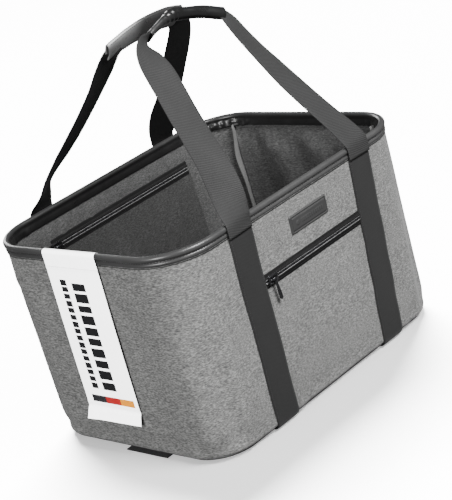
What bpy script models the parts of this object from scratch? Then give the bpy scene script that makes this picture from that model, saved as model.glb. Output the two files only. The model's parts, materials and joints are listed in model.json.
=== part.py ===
"""A foldable tote bag: a fabric basket on a stiff base, hung from an aluminium rim frame.

The bag stands on its closing band at z = 0. X runs along its length, the front is at -Y and the
open top faces +Z. Each sewn or rigid piece is its own object. All sizes are in metres.
"""

import math

import bmesh
import bpy
from mathutils import Vector

# Overall size, over the rim.
LENGTH = 0.480
WIDTH = 0.372
HEIGHT = 0.295
RIM_CORNER = 0.076
GAP = 0.0003

# Walls: a fabric basket that narrows from front to rear towards its foot.
FOOT_WIDTH = 0.345
FOOT_CORNER = 0.062
WALL_INSET = 0.0027
WALL_SEAM_Z = 0.0056
WALL_FILLET = 0.008
WALL_UPRIGHT_Z = 0.271  # above this the walls stand straight up into the rim
WALL_TOP_Z = 0.2862
END_SEAM_Y = -0.048  # where the two outer panels meet on the short ends
OUTER_CLOTH = 0.0016
POCKET_CLOTH = 0.0009
LINING_CLOTH = 0.0010
CORNER_STEPS = 8
FILLET_STEPS = 3

LINING_SEAM_TURN = 0.4  # degrees each lining panel stops short of its corner seam
BINDING_HALF_WIDTH = 0.0011
BINDING_DEPTH = 0.0085
BINDING_TOP_GAP = 0.0005

# The base, from the ground up.
BAND_LENGTH = 0.472
BAND_WIDTH = 0.080
BAND_MIDDLE_Y = -0.020
WEBBING = 0.0016
PIPING_HEIGHT = 0.0015
PIPING_INSETS = (0.0070, 0.0095)
BOARD_INSET = 0.0070
BOARD_THICKNESS = 0.0025

# The rim: an aluminium tube in a sewn cover with an outer flange and a deeper inner facing.
COVER_RADIUS = 0.0045
COVER_BORE = 0.0035
COVER_CLOTH = 0.0012
FLANGE_DEPTH = 0.0115
FACING_DEPTH = 0.0185
TUBE_RADIUS = 0.0032
TUBE_BORE = 0.0024
FERRULE_LENGTH = 0.030

# Webbing straps and the two handles.
STRAP_X = 0.1210
STRAP_WIDTH = 0.042
PIVOT_Y = WIDTH / 2 + GAP + WEBBING / 2
PIVOT_Z = HEIGHT + 0.0014
RIM_TAB_DROP = 0.0025  # the sewn straps end this far below the rim's flange
FRONT_LEAN = math.radians(27.9)
REAR_LEAN = math.radians(39.2)
FRONT_GRIP = ((-0.0665, 0.254), (-0.030, 0.263), (0.002, 0.261), (0.035, 0.251), (0.0665, 0.238))
REAR_GRIP = ((-0.0665, 0.261), (-0.034, 0.271), (0.0, 0.276), (0.034, 0.274), (0.0665, 0.266))
FRONT_GRIP_OVAL = (0.0090, 0.0070)  # rolled, half sizes in and square to the handle's plane
REAR_GRIP_OVAL = (0.0180, 0.0038)  # pressed flat
LEG_COURSE = ((STRAP_X, 0.0), (0.1090, 0.055), (0.0990, 0.115), (0.0915, 0.175))
LEG_NECK = (0.0865, 0.032)  # its x, and how far below the grip's end it is
LEG_NECK_WIDTH = 0.016
LEG_NARROWS = (0.55, 0.28)  # shares of the leg: where it starts to fold in, and over how much
LEG_LAST = 0.010
LEG_END_GAP = 0.0014
SLEEVE_CLOTH = 0.0014

# Zips and pockets.
TAPE_WIDTH = 0.0077
TAPE_SPLIT = 0.0008
TAPE_CLOTH = 0.0008
TEETH_WIDTH = 0.0048
TEETH_HEIGHT = 0.0012
SLIDER_LENGTH = 0.0120
SLIDER_WIDTH = 0.0090
SLIDER_THICKNESS = 0.0016
SLIDER_CORNER = 0.0018
PULL_WIDTH = 0.0038
PULL_THICKNESS = 0.0010
PULL_CORNER = 0.0017
PULL_TOP = 0.0004  # above its hinge line, short enough to clear the slider as it swings
FRONT_ZIP_Z = 0.197
FRONT_ZIP_ENDS = (-0.0994, 0.0994)
FRONT_SLIDER_X = -0.0835
FRONT_PULL_LENGTH = 0.029
FRONT_PULL_TURN = math.radians(-15)
FRONT_POCKET_FOOT_Z = 0.030
FRONT_POCKET_INSET = 0.004
INNER_ZIP_Z = 0.239
INNER_ZIP_ENDS = (-0.134, 0.148)
INNER_ZIP_STANDOFF = 0.0006  # off the lining, clear of the rim's facing when the bag is folded
INNER_SLIDER_X = -0.1270
INNER_PULL_LENGTH = 0.024
INNER_POCKET_FOOT_Z = 0.052
INNER_POCKET_ENDS = (-0.135, 0.150)

# Label patch and hang tag.
LABEL_ENDS = (-0.0300, 0.0460)
LABEL_MIDDLE_Z = 0.244
LABEL_HEIGHT = 0.026
LABEL_THICKNESS = 0.0012
LABEL_CORNER = 0.0022
TAG_ENDS = (-0.045, 0.056)
TAG_CARD = 0.0005
TAG_CREASE_Z = 0.2732
TAG_CREASE_GAP = 0.0005
TAG_FOOT_Z = 0.050
TAG_INNER_REACH = 0.036  # down the inside of the rim, below the tube's middle

# Looks: colour, roughness, metallic.
LOOKS = {
    "heather_fabric": ((0.27, 0.27, 0.265), 0.90, 0.0),
    "lining_fabric": ((0.10, 0.10, 0.10), 0.85, 0.0),
    "webbing": ((0.055, 0.055, 0.056), 0.75, 0.0),
    "elastic": ((0.030, 0.030, 0.031), 0.80, 0.0),
    "cover_leather": ((0.035, 0.035, 0.036), 0.38, 0.0),
    "patch_leather": ((0.050, 0.050, 0.050), 0.50, 0.0),
    "board": ((0.040, 0.040, 0.040), 0.60, 0.0),
    "aluminium": ((0.75, 0.76, 0.78), 0.30, 1.0),
    "foam": ((0.08, 0.08, 0.08), 0.90, 0.0),
    "zip_tape": ((0.016, 0.016, 0.017), 0.80, 0.0),
    "zip_teeth": ((0.020, 0.020, 0.021), 0.35, 0.0),
    "gunmetal": ((0.10, 0.10, 0.105), 0.30, 1.0),
    "card": ((0.86, 0.86, 0.86), 0.45, 0.0),
}


def clear_scene():
    for obj in list(bpy.data.objects):
        bpy.data.objects.remove(obj, do_unlink=True)


def material(look):
    found = bpy.data.materials.get(look)
    if found:
        return found
    colour, roughness, metallic = LOOKS[look]
    made = bpy.data.materials.new(look)
    made.use_nodes = True
    shader = made.node_tree.nodes["Principled BSDF"]
    shader.inputs["Base Color"].default_value = (*colour, 1.0)
    shader.inputs["Roughness"].default_value = roughness
    shader.inputs["Metallic"].default_value = metallic
    return made


def empty(name, location=(0, 0, 0), turn_x=0.0, parent=None):
    """A frame for pieces to hang from, turned about X."""
    made = bpy.data.objects.new(name, None)
    made.location = location
    made.rotation_euler = (turn_x, 0, 0)
    made.parent = parent
    bpy.context.scene.collection.objects.link(made)
    return made


def finish(name, mesh_data, look, parent=None, smooth_angle=35):
    """Turns a bmesh into a shaded, named object."""
    bmesh.ops.recalc_face_normals(mesh_data, faces=mesh_data.faces)
    mesh = bpy.data.meshes.new(name)
    mesh_data.to_mesh(mesh)
    mesh_data.free()
    mesh.shade_smooth()
    mesh.set_sharp_from_angle(angle=math.radians(smooth_angle))
    mesh.materials.append(material(look))
    made = bpy.data.objects.new(name, mesh)
    made.parent = parent
    bpy.context.scene.collection.objects.link(made)
    return made


def sweep(name, sections, look, closed=False, parent=None):
    """A solid through equal point loops, one for each station, with flat ends unless it closes."""
    made = bmesh.new()
    rings = [[made.verts.new(point) for point in section] for section in sections]
    count = len(rings[0])
    pairs = list(zip(rings, rings[1:]))
    if closed:
        pairs.append((rings[-1], rings[0]))
    for ring, after in pairs:
        for i in range(count):
            j = (i + 1) % count
            made.faces.new((ring[i], ring[j], after[j], after[i]))
    if not closed:
        made.faces.new(rings[0])
        made.faces.new(rings[-1])
    return finish(name, made, look, parent)


def hollow_sweep(name, outer, inner, look, parent=None):
    """A tube that is open at both ends, through matching outer and inner point loops."""
    made = bmesh.new()
    count = len(outer[0])
    shells = [[[made.verts.new(p) for p in ring] for ring in rings] for rings in (outer, inner)]
    for rings in shells:
        for ring, after in zip(rings, rings[1:]):
            for i in range(count):
                j = (i + 1) % count
                made.faces.new((ring[i], ring[j], after[j], after[i]))
    for end in (0, -1):
        outside, inside = shells[0][end], shells[1][end]
        for i in range(count):
            j = (i + 1) % count
            made.faces.new((outside[i], outside[j], inside[j], inside[i]))
    return finish(name, made, look, parent)


def block(name, low, high, look, bevel=0.0, parent=None, location=(0, 0, 0), turn_y=0.0):
    """A box between two corners. A bevel rounds the four edges that run along its own Y."""
    made = bmesh.new()
    bmesh.ops.create_cube(made, size=1.0)
    size = Vector(high) - Vector(low)
    middle = (Vector(high) + Vector(low)) / 2
    for vert in made.verts:
        vert.co = Vector(v * s for v, s in zip(vert.co, size)) + middle
    if bevel:
        along_y = [e for e in made.edges if abs(e.verts[0].co.y - e.verts[1].co.y) > 1e-6]
        bmesh.ops.bevel(made, geom=along_y, offset=bevel, segments=3, affect="EDGES")
    obj = finish(name, made, look, parent)
    obj.location = location
    obj.rotation_euler = (0, turn_y, 0)
    return obj


# The basket's outline at any height.


def share_up(z):
    """How far z is up the leaning part of the walls, from 0 to 1."""
    foot_z = WALL_SEAM_Z + WALL_FILLET
    return min(max((z - foot_z) / (WALL_UPRIGHT_Z - foot_z), 0.0), 1.0)


def wall_halves(z, inset):
    """Half length, half width and corner radius of the outer wall at height z, drawn in by inset."""
    up = share_up(z)
    half_y = FOOT_WIDTH / 2 + (WIDTH / 2 - WALL_INSET - FOOT_WIDTH / 2) * up
    corner = FOOT_CORNER + (RIM_CORNER - WALL_INSET - FOOT_CORNER) * up
    return LENGTH / 2 - WALL_INSET - inset, half_y - inset, corner - inset


def corner_angles(first, last, steps=CORNER_STEPS):
    return [math.radians(first + (last - first) * i / steps) for i in range(steps + 1)]


def outline(half_x, half_y, corner):
    """A whole rounded rectangle, counterclockwise from its +X side."""
    points = []
    for side_x, side_y, first in ((1, 1, 0), (-1, 1, 90), (-1, -1, 180), (1, -1, 270)):
        centre = Vector((side_x * (half_x - corner), side_y * (half_y - corner)))
        for angle in corner_angles(first, first + 90):
            points.append(centre + corner * Vector((math.cos(angle), math.sin(angle))))
    return points


def slab(name, inset, low_z, high_z, look):
    """A flat piece of the base, with the basket's rounded outline."""
    points = outline(*wall_halves(0, inset))
    sections = [[Vector((p.x, p.y, z)) for p in points] for z in (low_z, high_z)]
    return sweep(name, sections, look)


def fillet_levels(offset):
    """(z, inset) from the base seam up round the basket's lower edge, offset inwards from its face."""
    radius = WALL_FILLET - offset
    levels = []
    for i in range(FILLET_STEPS + 1):
        turn = math.pi / 2 * i / FILLET_STEPS
        z = WALL_SEAM_Z + WALL_FILLET - radius * math.cos(turn)
        levels.append((z, WALL_FILLET - radius * math.sin(turn)))
    return levels


def corner_arc(side_x, side_y, first, last, steps=CORNER_STEPS):
    """Stations (side_x, side_y, direction) round one corner of the basket."""
    return [(side_x, side_y, angle) for angle in corner_angles(first, last, steps)]


def on_outline(station, half_x, half_y, corner):
    side_x, side_y, angle = station
    if side_y == 0:
        return Vector((side_x * half_x, angle))
    arm = corner * Vector((math.cos(angle), math.sin(angle)))
    return Vector((side_x * (half_x - corner), side_y * (half_y - corner))) + arm


def wall_section(station, outer_levels, inner_levels):
    """A closed loop up the outside of a wall and down its inside, at one station."""
    section = []
    for z, inset in outer_levels + inner_levels[::-1]:
        point = on_outline(station, *wall_halves(z, inset))
        section.append(Vector((point.x, point.y, z)))
    return section


def end_seam(side_x, side_y):
    """The station beside the seam on a short end, given as (side, 0, y)."""
    return (side_x, 0, END_SEAM_Y + side_y * GAP / 2)


def outer_panel(name, side_y):
    """One half of the outer fabric: a long wall and its share of both short ends."""
    if side_y < 0:
        stations = corner_arc(-1, -1, 180, 270) + corner_arc(1, -1, 270, 360)
        stations = [end_seam(-1, -1)] + stations + [end_seam(1, -1)]
    else:
        stations = corner_arc(1, 1, 0, 90) + corner_arc(-1, 1, 90, 180)
        stations = [end_seam(1, 1)] + stations + [end_seam(-1, 1)]
    outer, inner = (
        fillet_levels(offset) + [(WALL_UPRIGHT_Z, offset), (WALL_TOP_Z, offset)]
        for offset in (0, OUTER_CLOTH)
    )
    return sweep(name, [wall_section(s, outer, inner) for s in stations], "heather_fabric")


LINING_OFFSET = OUTER_CLOTH + POCKET_CLOTH + 2 * GAP
LINING_FACE = LINING_OFFSET + LINING_CLOTH
BOARD_Z = WALL_SEAM_Z + OUTER_CLOTH + GAP
FLOOR_LINING_Z = BOARD_Z + BOARD_THICKNESS + GAP
LINING_FOOT_Z = FLOOR_LINING_Z + LINING_CLOTH + GAP


def lining_panel(name, stations):
    """One panel of the lining, between the bound seams of two corners."""
    heights = (LINING_FOOT_Z, WALL_UPRIGHT_Z, WALL_TOP_Z)
    outer, inner = ([(z, offset) for z in heights] for offset in (LINING_OFFSET, LINING_FACE))
    return sweep(name, [wall_section(s, outer, inner) for s in stations], "lining_fabric")


def linings():
    seam, half = LINING_SEAM_TURN, CORNER_STEPS // 2
    front = corner_arc(-1, -1, 225 + seam, 270, half) + corner_arc(1, -1, 270, 315 - seam, half)
    right = corner_arc(1, -1, 315 + seam, 360, half) + corner_arc(1, 1, 0, 45 - seam, half)
    rear = corner_arc(1, 1, 45 + seam, 90, half) + corner_arc(-1, 1, 90, 135 - seam, half)
    left = corner_arc(-1, 1, 135 + seam, 180, half) + corner_arc(-1, -1, 180, 225 - seam, half)
    for name, stations in (("front", front), ("right", right), ("rear", rear), ("left", left)):
        lining_panel(f"{name}_lining", stations)


def corner_bindings():
    """Bound seam allowances that stand into the bag at its four inner corners."""
    low_z, high_z = LINING_FOOT_Z, HEIGHT - COVER_RADIUS - FACING_DEPTH - BINDING_TOP_GAP
    for side_y, long_side in ((-1, "front"), (1, "rear")):
        for side_x, short_side in ((-1, "left"), (1, "right")):
            angle = math.atan2(side_y, side_x)
            out = Vector((math.cos(angle), math.sin(angle)))
            across = Vector((-out.y, out.x)) * BINDING_HALF_WIDTH
            sections = []
            for z in (low_z, high_z):
                root = on_outline((side_x, side_y, angle), *wall_halves(z, LINING_FACE + GAP))
                tip = root - out * BINDING_DEPTH
                loop = [root + across, root - across, tip - across, tip + across]
                sections.append([Vector((p.x, p.y, z)) for p in loop])
            sweep(f"corner_binding_{long_side}_{short_side}", sections, "webbing")


def base_pieces():
    """Everything under the load, from the closing band up to the floor lining."""
    block(
        "closing_band",
        (-BAND_LENGTH / 2, BAND_MIDDLE_Y - BAND_WIDTH / 2, 0),
        (BAND_LENGTH / 2, BAND_MIDDLE_Y + BAND_WIDTH / 2, WEBBING),
        "elastic",
    )
    slab("bottom_panel", WALL_FILLET + GAP, WALL_SEAM_Z, WALL_SEAM_Z + OUTER_CLOTH, "heather_fabric")
    slab("base_board", BOARD_INSET, BOARD_Z, BOARD_Z + BOARD_THICKNESS, "board")
    floor_top = FLOOR_LINING_Z + LINING_CLOTH
    slab("floor_lining", LINING_OFFSET + GAP, FLOOR_LINING_Z, floor_top, "lining_fabric")
    base_piping()


def base_piping():
    """The piped seam under the joint of the walls and the bottom panel, as one ring."""
    high_z = WALL_SEAM_Z - GAP
    low_z = high_z - PIPING_HEIGHT
    rings = [outline(*wall_halves(0, inset)) for inset in PIPING_INSETS]
    sections = []
    for outside, inside in zip(*rings):
        loop = [(outside, low_z), (inside, low_z), (inside, high_z), (outside, high_z)]
        sections.append([Vector((p.x, p.y, z)) for p, z in loop])
    sweep("base_piping", sections, "cover_leather", closed=True)


# Webbing that is sewn to the basket.

STRAP_LOW_Z = WALL_SEAM_Z - 2 * GAP - PIPING_HEIGHT - WEBBING
STRAP_TOP_Z = HEIGHT - COVER_RADIUS - FLANGE_DEPTH - RIM_TAB_DROP


def strap_path(side_y, offset):
    """(y, z) of a face of the sewn strap, from under the lower edge to just below the rim."""
    centre_z = WALL_SEAM_Z + WALL_FILLET
    foot_y = FOOT_WIDTH / 2 - WALL_FILLET
    points = []
    reach_y = WALL_FILLET + offset
    reach_z = centre_z - STRAP_LOW_Z - WEBBING + offset - GAP
    for i in range(2 * FILLET_STEPS + 1):
        turn = math.pi / 2 * i / (2 * FILLET_STEPS)
        points.append((foot_y + reach_y * math.sin(turn), centre_z - reach_z * math.cos(turn)))
    for z in (WALL_UPRIGHT_Z, STRAP_TOP_Z):
        points.append((wall_halves(z, 0)[1] + offset, z))
    return [(side_y * y, z) for y, z in points]


def sewn_straps():
    for side_y, long_side in ((-1, "front"), (1, "rear")):
        loop = strap_path(side_y, GAP) + strap_path(side_y, GAP + WEBBING)[::-1]
        for side_x, short_side in ((-1, "left"), (1, "right")):
            edges = (side_x * STRAP_X - STRAP_WIDTH / 2, side_x * STRAP_X + STRAP_WIDTH / 2)
            sections = [[Vector((x, y, z)) for y, z in loop] for x in edges]
            sweep(f"{long_side}_strap_{short_side}", sections, "webbing")
    for side_x, short_side in ((-1, "left"), (1, "right")):
        reach = FOOT_WIDTH / 2 - WALL_FILLET - GAP
        block(
            f"base_strap_{short_side}",
            (side_x * STRAP_X - STRAP_WIDTH / 2, -reach, STRAP_LOW_Z),
            (side_x * STRAP_X + STRAP_WIDTH / 2, reach, STRAP_LOW_Z + WEBBING),
            "webbing",
        )


def strap_rim_tabs(rim):
    """The stretch of each strap that is stitched over the rim's cover."""
    low_z = STRAP_TOP_Z + GAP
    high_z = PIVOT_Z - WEBBING / 2 - GAP
    for side_y, long_side in ((-1, "front"), (1, "rear")):
        faces = sorted((side_y * (WIDTH / 2 + GAP), side_y * (WIDTH / 2 + GAP + WEBBING)))
        for side_x, short_side in ((-1, "left"), (1, "right")):
            block(
                f"{long_side}_rim_tab_{short_side}",
                (side_x * STRAP_X - STRAP_WIDTH / 2, faces[0], low_z),
                (side_x * STRAP_X + STRAP_WIDTH / 2, faces[1], high_z),
                "webbing",
                parent=rim,
            )


# The rim.


def arc(radius, first, last, steps):
    """(out, up) points on a circle, with angles in degrees."""
    angles = [math.radians(first + (last - first) * i / steps) for i in range(steps + 1)]
    return [(radius * math.cos(a), radius * math.sin(a)) for a in angles]


def cover_profile():
    """The cover's section: a flange, the roll round the tube and a deeper facing, about the tube."""
    flange_out = COVER_RADIUS - COVER_CLOTH
    flange_in = flange_out - COVER_CLOTH
    facing_out = flange_in - 2 * GAP - LINING_FACE
    facing_in = facing_out - COVER_CLOTH
    turn = math.degrees
    outside = arc(
        COVER_RADIUS,
        -turn(math.acos(flange_out / COVER_RADIUS)),
        180 + turn(math.acos(-facing_in / COVER_RADIUS)),
        10,
    )
    inside = arc(
        COVER_BORE,
        180 + turn(math.acos(-facing_out / COVER_BORE)),
        -turn(math.acos(flange_in / COVER_BORE)),
        10,
    )
    return (
        [(flange_out, -FLANGE_DEPTH)]
        + outside
        + [(facing_in, -FACING_DEPTH), (facing_out, -FACING_DEPTH)]
        + inside
        + [(flange_in, -FLANGE_DEPTH)]
    )


def rim_stations():
    """(point, outward direction) round the tube's centre line, counterclockwise from +X."""
    half_x, half_y = LENGTH / 2 - COVER_RADIUS, WIDTH / 2 - COVER_RADIUS
    corner = RIM_CORNER - COVER_RADIUS
    stations = []
    for side_x, side_y, first in ((1, 1, 0), (-1, 1, 90), (-1, -1, 180), (1, -1, 270)):
        for angle in corner_angles(first, first + 90):
            out = Vector((math.cos(angle), math.sin(angle)))
            centre = Vector((side_x * (half_x - corner), side_y * (half_y - corner)))
            stations.append((centre + corner * out, out))
    return stations


def at_station(station, out, up, z):
    point = station[0] + station[1] * out
    return Vector((point.x, point.y, z + up))


def rim_pieces(rim):
    """The cover, the tube's two halves and the ferrules that join them."""
    centre_z = HEIGHT - COVER_RADIUS
    profile = cover_profile()
    sections = [[at_station(s, out, up, centre_z) for out, up in profile] for s in rim_stations()]
    sweep("rim_cover", sections, "cover_leather", closed=True, parent=rim)

    stations = rim_stations()
    per_half = len(stations) // 2
    end_x = LENGTH / 2 - COVER_RADIUS
    for name, side_y, part in (
        ("frame_tube_rear", 1, stations[:per_half]),
        ("frame_tube_front", -1, stations[per_half:]),
    ):
        first = (Vector((side_y * end_x, side_y * GAP / 2)), Vector((side_y, 0)))
        last = (Vector((-side_y * end_x, side_y * GAP / 2)), Vector((-side_y, 0)))
        path = [first] + part + [last]
        rings = []
        for radius in (TUBE_RADIUS, TUBE_BORE):
            circle = arc(radius, 0, 330, 11)
            rings.append([[at_station(s, out, up, centre_z) for out, up in circle] for s in path])
        hollow_sweep(name, rings[0], rings[1], "aluminium", rim)
    for side_x, short_side in ((-1, "left"), (1, "right")):
        circle = arc(TUBE_BORE - GAP, 0, 330, 11)
        sections = [
            [Vector((side_x * end_x + out, end_y, centre_z + up)) for out, up in circle]
            for end_y in (-FERRULE_LENGTH / 2, FERRULE_LENGTH / 2)
        ]
        sweep(f"frame_ferrule_{short_side}", sections, "aluminium", parent=rim)


# Handles, each in the plane of a frame that stands on its hinge line.


def plane_frames(points):
    """(point, across) along a path in a handle's plane, with across square to the path."""
    frames = []
    for i, point in enumerate(points):
        before, after = points[max(i - 1, 0)], points[min(i + 1, len(points) - 1)]
        along = (Vector(after) - Vector(before)).normalized()
        frames.append((Vector(point), Vector((along.y, -along.x))))
    return frames


def smooth_path(points, steps):
    """A Catmull-Rom curve through the points, with the given steps for each stretch."""
    ends = [2 * Vector(points[0]) - Vector(points[1]), 2 * Vector(points[-1]) - Vector(points[-2])]
    padded = [ends[0]] + [Vector(p) for p in points] + [ends[1]]
    curve = []
    for a, b, c, d in zip(padded, padded[1:], padded[2:], padded[3:]):
        for i in range(steps):
            t = i / steps
            bend = (2 * a - 5 * b + 4 * c - d) * t**2 + (3 * b - a - 3 * c + d) * t**3
            curve.append(0.5 * (2 * b + (c - a) * t + bend))
    return curve + [Vector(points[-1])]


def handle_leg(name, points, widths, end_across, parent):
    """A flat webbing leg through (x, reach) points, with a width at each end."""
    path = smooth_path(points[:-1], 3) + [Vector(points[-1])]
    sections = []
    for i, (point, across) in enumerate(plane_frames(path)):
        share = min(max((i / (len(path) - 1) - LEG_NARROWS[0]) / LEG_NARROWS[1], 0.0), 1.0)
        half = (widths[0] + (widths[1] - widths[0]) * share) / 2
        if i == 0:
            across = Vector((1, 0))
        elif i == len(path) - 1:
            across = end_across
        low, high = point - across * half, point + across * half
        thick = WEBBING / 2
        loop = [(low, -thick), (high, -thick), (high, thick), (low, thick)]
        sections.append([Vector((p.x, y, p.y)) for p, y in loop])
    return sweep(name, sections, "webbing", parent=parent)


def grip_rings(points, across_radius, normal_radius, steps=12):
    """Oval rings along a grip's centre line."""
    rings = []
    for point, across in plane_frames(smooth_path(points, 3)):
        ring = []
        for i in range(steps):
            turn = 2 * math.pi * i / steps
            at = point + across * across_radius * math.cos(turn)
            ring.append(Vector((at.x, normal_radius * math.sin(turn), at.y)))
        rings.append(ring)
    return rings


def handle(side, parent, grip_points, oval):
    """One handle: two webbing legs, a padded core and the sleeve sewn round it."""
    for short_side, side_x, end, next_in in (
        ("left", -1, grip_points[0], grip_points[1]),
        ("right", 1, grip_points[-1], grip_points[-2]),
    ):
        away = (Vector(end) - Vector(next_in)).normalized()
        end_across = Vector((-away.y, away.x))
        leg = [(side_x * x, reach) for x, reach in LEG_COURSE]
        leg.append((side_x * LEG_NECK[0], end[1] - LEG_NECK[1]))
        leg += [tuple(Vector(end) + away * apart) for apart in (LEG_LAST, LEG_END_GAP)]
        widths = (STRAP_WIDTH, LEG_NECK_WIDTH)
        handle_leg(f"{side}_handle_leg_{short_side}", leg, widths, end_across, parent)
    outer = grip_rings(grip_points, *oval)
    bore = [radius - SLEEVE_CLOTH for radius in oval]
    inner = grip_rings(grip_points, *bore)
    core = grip_rings(grip_points, *[radius - GAP for radius in bore])
    hollow_sweep(f"{side}_grip_sleeve", outer, inner, "cover_leather", parent)
    sweep(f"{side}_grip_core", core, "foam", parent=parent)


def handles():
    front = empty("front_handle_hinge", (0, -PIVOT_Y, PIVOT_Z), -FRONT_LEAN)
    rear = empty("rear_handle_hinge", (0, PIVOT_Y, PIVOT_Z), REAR_LEAN)
    handle("front", front, FRONT_GRIP, FRONT_GRIP_OVAL)
    handle("rear", rear, REAR_GRIP, REAR_GRIP_OVAL)


# Pockets, zips, label and tag.


def wall_tilt():
    """How far the long walls lean out, from upright."""
    rise = WALL_UPRIGHT_Z - WALL_SEAM_Z - WALL_FILLET
    return math.atan((WIDTH / 2 - WALL_INSET - FOOT_WIDTH / 2) / rise)


def wall_frame(name, side_y, inset, z):
    """A frame on a long wall's face at height z: local Z climbs the wall and -Y leads to the front."""
    face_y = side_y * wall_halves(z, inset)[1]
    return empty(name, (0, face_y, z), wall_tilt() if side_y < 0 else -wall_tilt())


def zip_set(side, frame, ends, slider_x, pull_length, pull_turn):
    """A zip on a wall frame: two tapes, a row of teeth, a slider and its pull tab."""
    face = GAP + TAPE_CLOTH
    edge = TAPE_SPLIT + TAPE_WIDTH
    for part, low, high in (("upper", TAPE_SPLIT, edge), ("lower", -edge, -TAPE_SPLIT)):
        corners = (ends[0], -face, low), (ends[1], -GAP, high)
        block(f"{side}_zip_tape_{part}", *corners, "zip_tape", parent=frame)
    teeth = face + GAP
    block(
        f"{side}_zip_teeth",
        (ends[0], -teeth - TEETH_HEIGHT, -TEETH_WIDTH / 2),
        (ends[1], -teeth, TEETH_WIDTH / 2),
        "zip_teeth",
        parent=frame,
    )
    body = teeth + TEETH_HEIGHT + GAP
    block(
        f"{side}_zip_slider",
        (-SLIDER_LENGTH / 2, -body - SLIDER_THICKNESS, -SLIDER_WIDTH / 2),
        (SLIDER_LENGTH / 2, -body, SLIDER_WIDTH / 2),
        "gunmetal",
        bevel=SLIDER_CORNER,
        parent=frame,
        location=(slider_x, 0, 0),
    )
    tab = body + SLIDER_THICKNESS + 2 * GAP + PULL_THICKNESS / 2
    block(
        f"{side}_zip_pull",
        (-PULL_WIDTH / 2, -PULL_THICKNESS / 2, -pull_length),
        (PULL_WIDTH / 2, PULL_THICKNESS / 2, PULL_TOP),
        "gunmetal",
        bevel=PULL_CORNER,
        parent=frame,
        location=(slider_x, -tab, 0),
        turn_y=pull_turn,
    )


def pockets_and_zips():
    front = wall_frame("front_zip_line", -1, 0, FRONT_ZIP_Z)
    zip_set("front", front, FRONT_ZIP_ENDS, FRONT_SLIDER_X, FRONT_PULL_LENGTH, FRONT_PULL_TURN)
    inner = wall_frame("inner_zip_line", 1, LINING_FACE + INNER_ZIP_STANDOFF, INNER_ZIP_Z)
    zip_set("inner", inner, INNER_ZIP_ENDS, INNER_SLIDER_X, INNER_PULL_LENGTH, 0.0)

    pocket = wall_frame("front_pocket_line", -1, OUTER_CLOTH + GAP, FRONT_ZIP_Z)
    block(
        "front_pocket_bag",
        (FRONT_ZIP_ENDS[0] + FRONT_POCKET_INSET, 0, FRONT_POCKET_FOOT_Z - FRONT_ZIP_Z),
        (FRONT_ZIP_ENDS[1] - FRONT_POCKET_INSET, POCKET_CLOTH, -FRONT_POCKET_INSET),
        "lining_fabric",
        parent=pocket,
    )
    block(
        "inner_pocket_panel",
        (INNER_POCKET_ENDS[0], -GAP - TAPE_CLOTH, INNER_POCKET_FOOT_Z - INNER_ZIP_Z),
        (INNER_POCKET_ENDS[1], -GAP, -TAPE_SPLIT - TAPE_WIDTH - GAP),
        "lining_fabric",
        parent=inner,
    )


def label_patch():
    frame = wall_frame("label_line", -1, 0, LABEL_MIDDLE_Z)
    low = (LABEL_ENDS[0], -GAP - LABEL_THICKNESS, -LABEL_HEIGHT / 2)
    high = (LABEL_ENDS[1], -GAP, LABEL_HEIGHT / 2)
    block("label_patch", low, high, "patch_leather", bevel=LABEL_CORNER, parent=frame)


def hang_tag(rim):
    """A card band: a loop over the left rim and a flap that hangs from its crease."""
    centre = (-(LENGTH / 2 - COVER_RADIUS), HEIGHT - COVER_RADIUS)
    low, high = COVER_RADIUS + GAP, COVER_RADIUS + GAP + TAG_CARD
    loop_foot = TAG_CREASE_Z + TAG_CREASE_GAP - centre[1]
    outer = [(-high, loop_foot)] + arc(high, 180, 0, 8) + [(high, -TAG_INNER_REACH)]
    inner = [(-low, loop_foot)] + arc(low, 180, 0, 8) + [(low, -TAG_INNER_REACH)]
    loop = outer + inner[::-1]
    sections = [[Vector((centre[0] + x, y, centre[1] + z)) for x, z in loop] for y in TAG_ENDS]
    sweep("hang_tag_loop", sections, "card", parent=rim)

    hinge = empty("hang_tag_hinge", (centre[0] - (low + high) / 2, 0, TAG_CREASE_Z))
    block(
        "hang_tag_flap",
        (-TAG_CARD / 2, TAG_ENDS[0], TAG_FOOT_Z - TAG_CREASE_Z),
        (TAG_CARD / 2, TAG_ENDS[1], 0),
        "card",
        parent=hinge,
    )


def main():
    clear_scene()
    rim = empty("rim_slide")
    base_pieces()
    outer_panel("front_outer_panel", -1)
    outer_panel("rear_outer_panel", 1)
    linings()
    corner_bindings()
    sewn_straps()
    rim_pieces(rim)
    strap_rim_tabs(rim)
    handles()
    pockets_and_zips()
    label_patch()
    hang_tag(rim)


main()
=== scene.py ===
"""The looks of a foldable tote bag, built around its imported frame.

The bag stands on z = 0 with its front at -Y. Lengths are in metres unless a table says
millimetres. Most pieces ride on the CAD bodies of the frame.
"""

import json
import math

import bmesh
import bpy
import numpy as np
from mathutils import Matrix, Vector, noise

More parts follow.
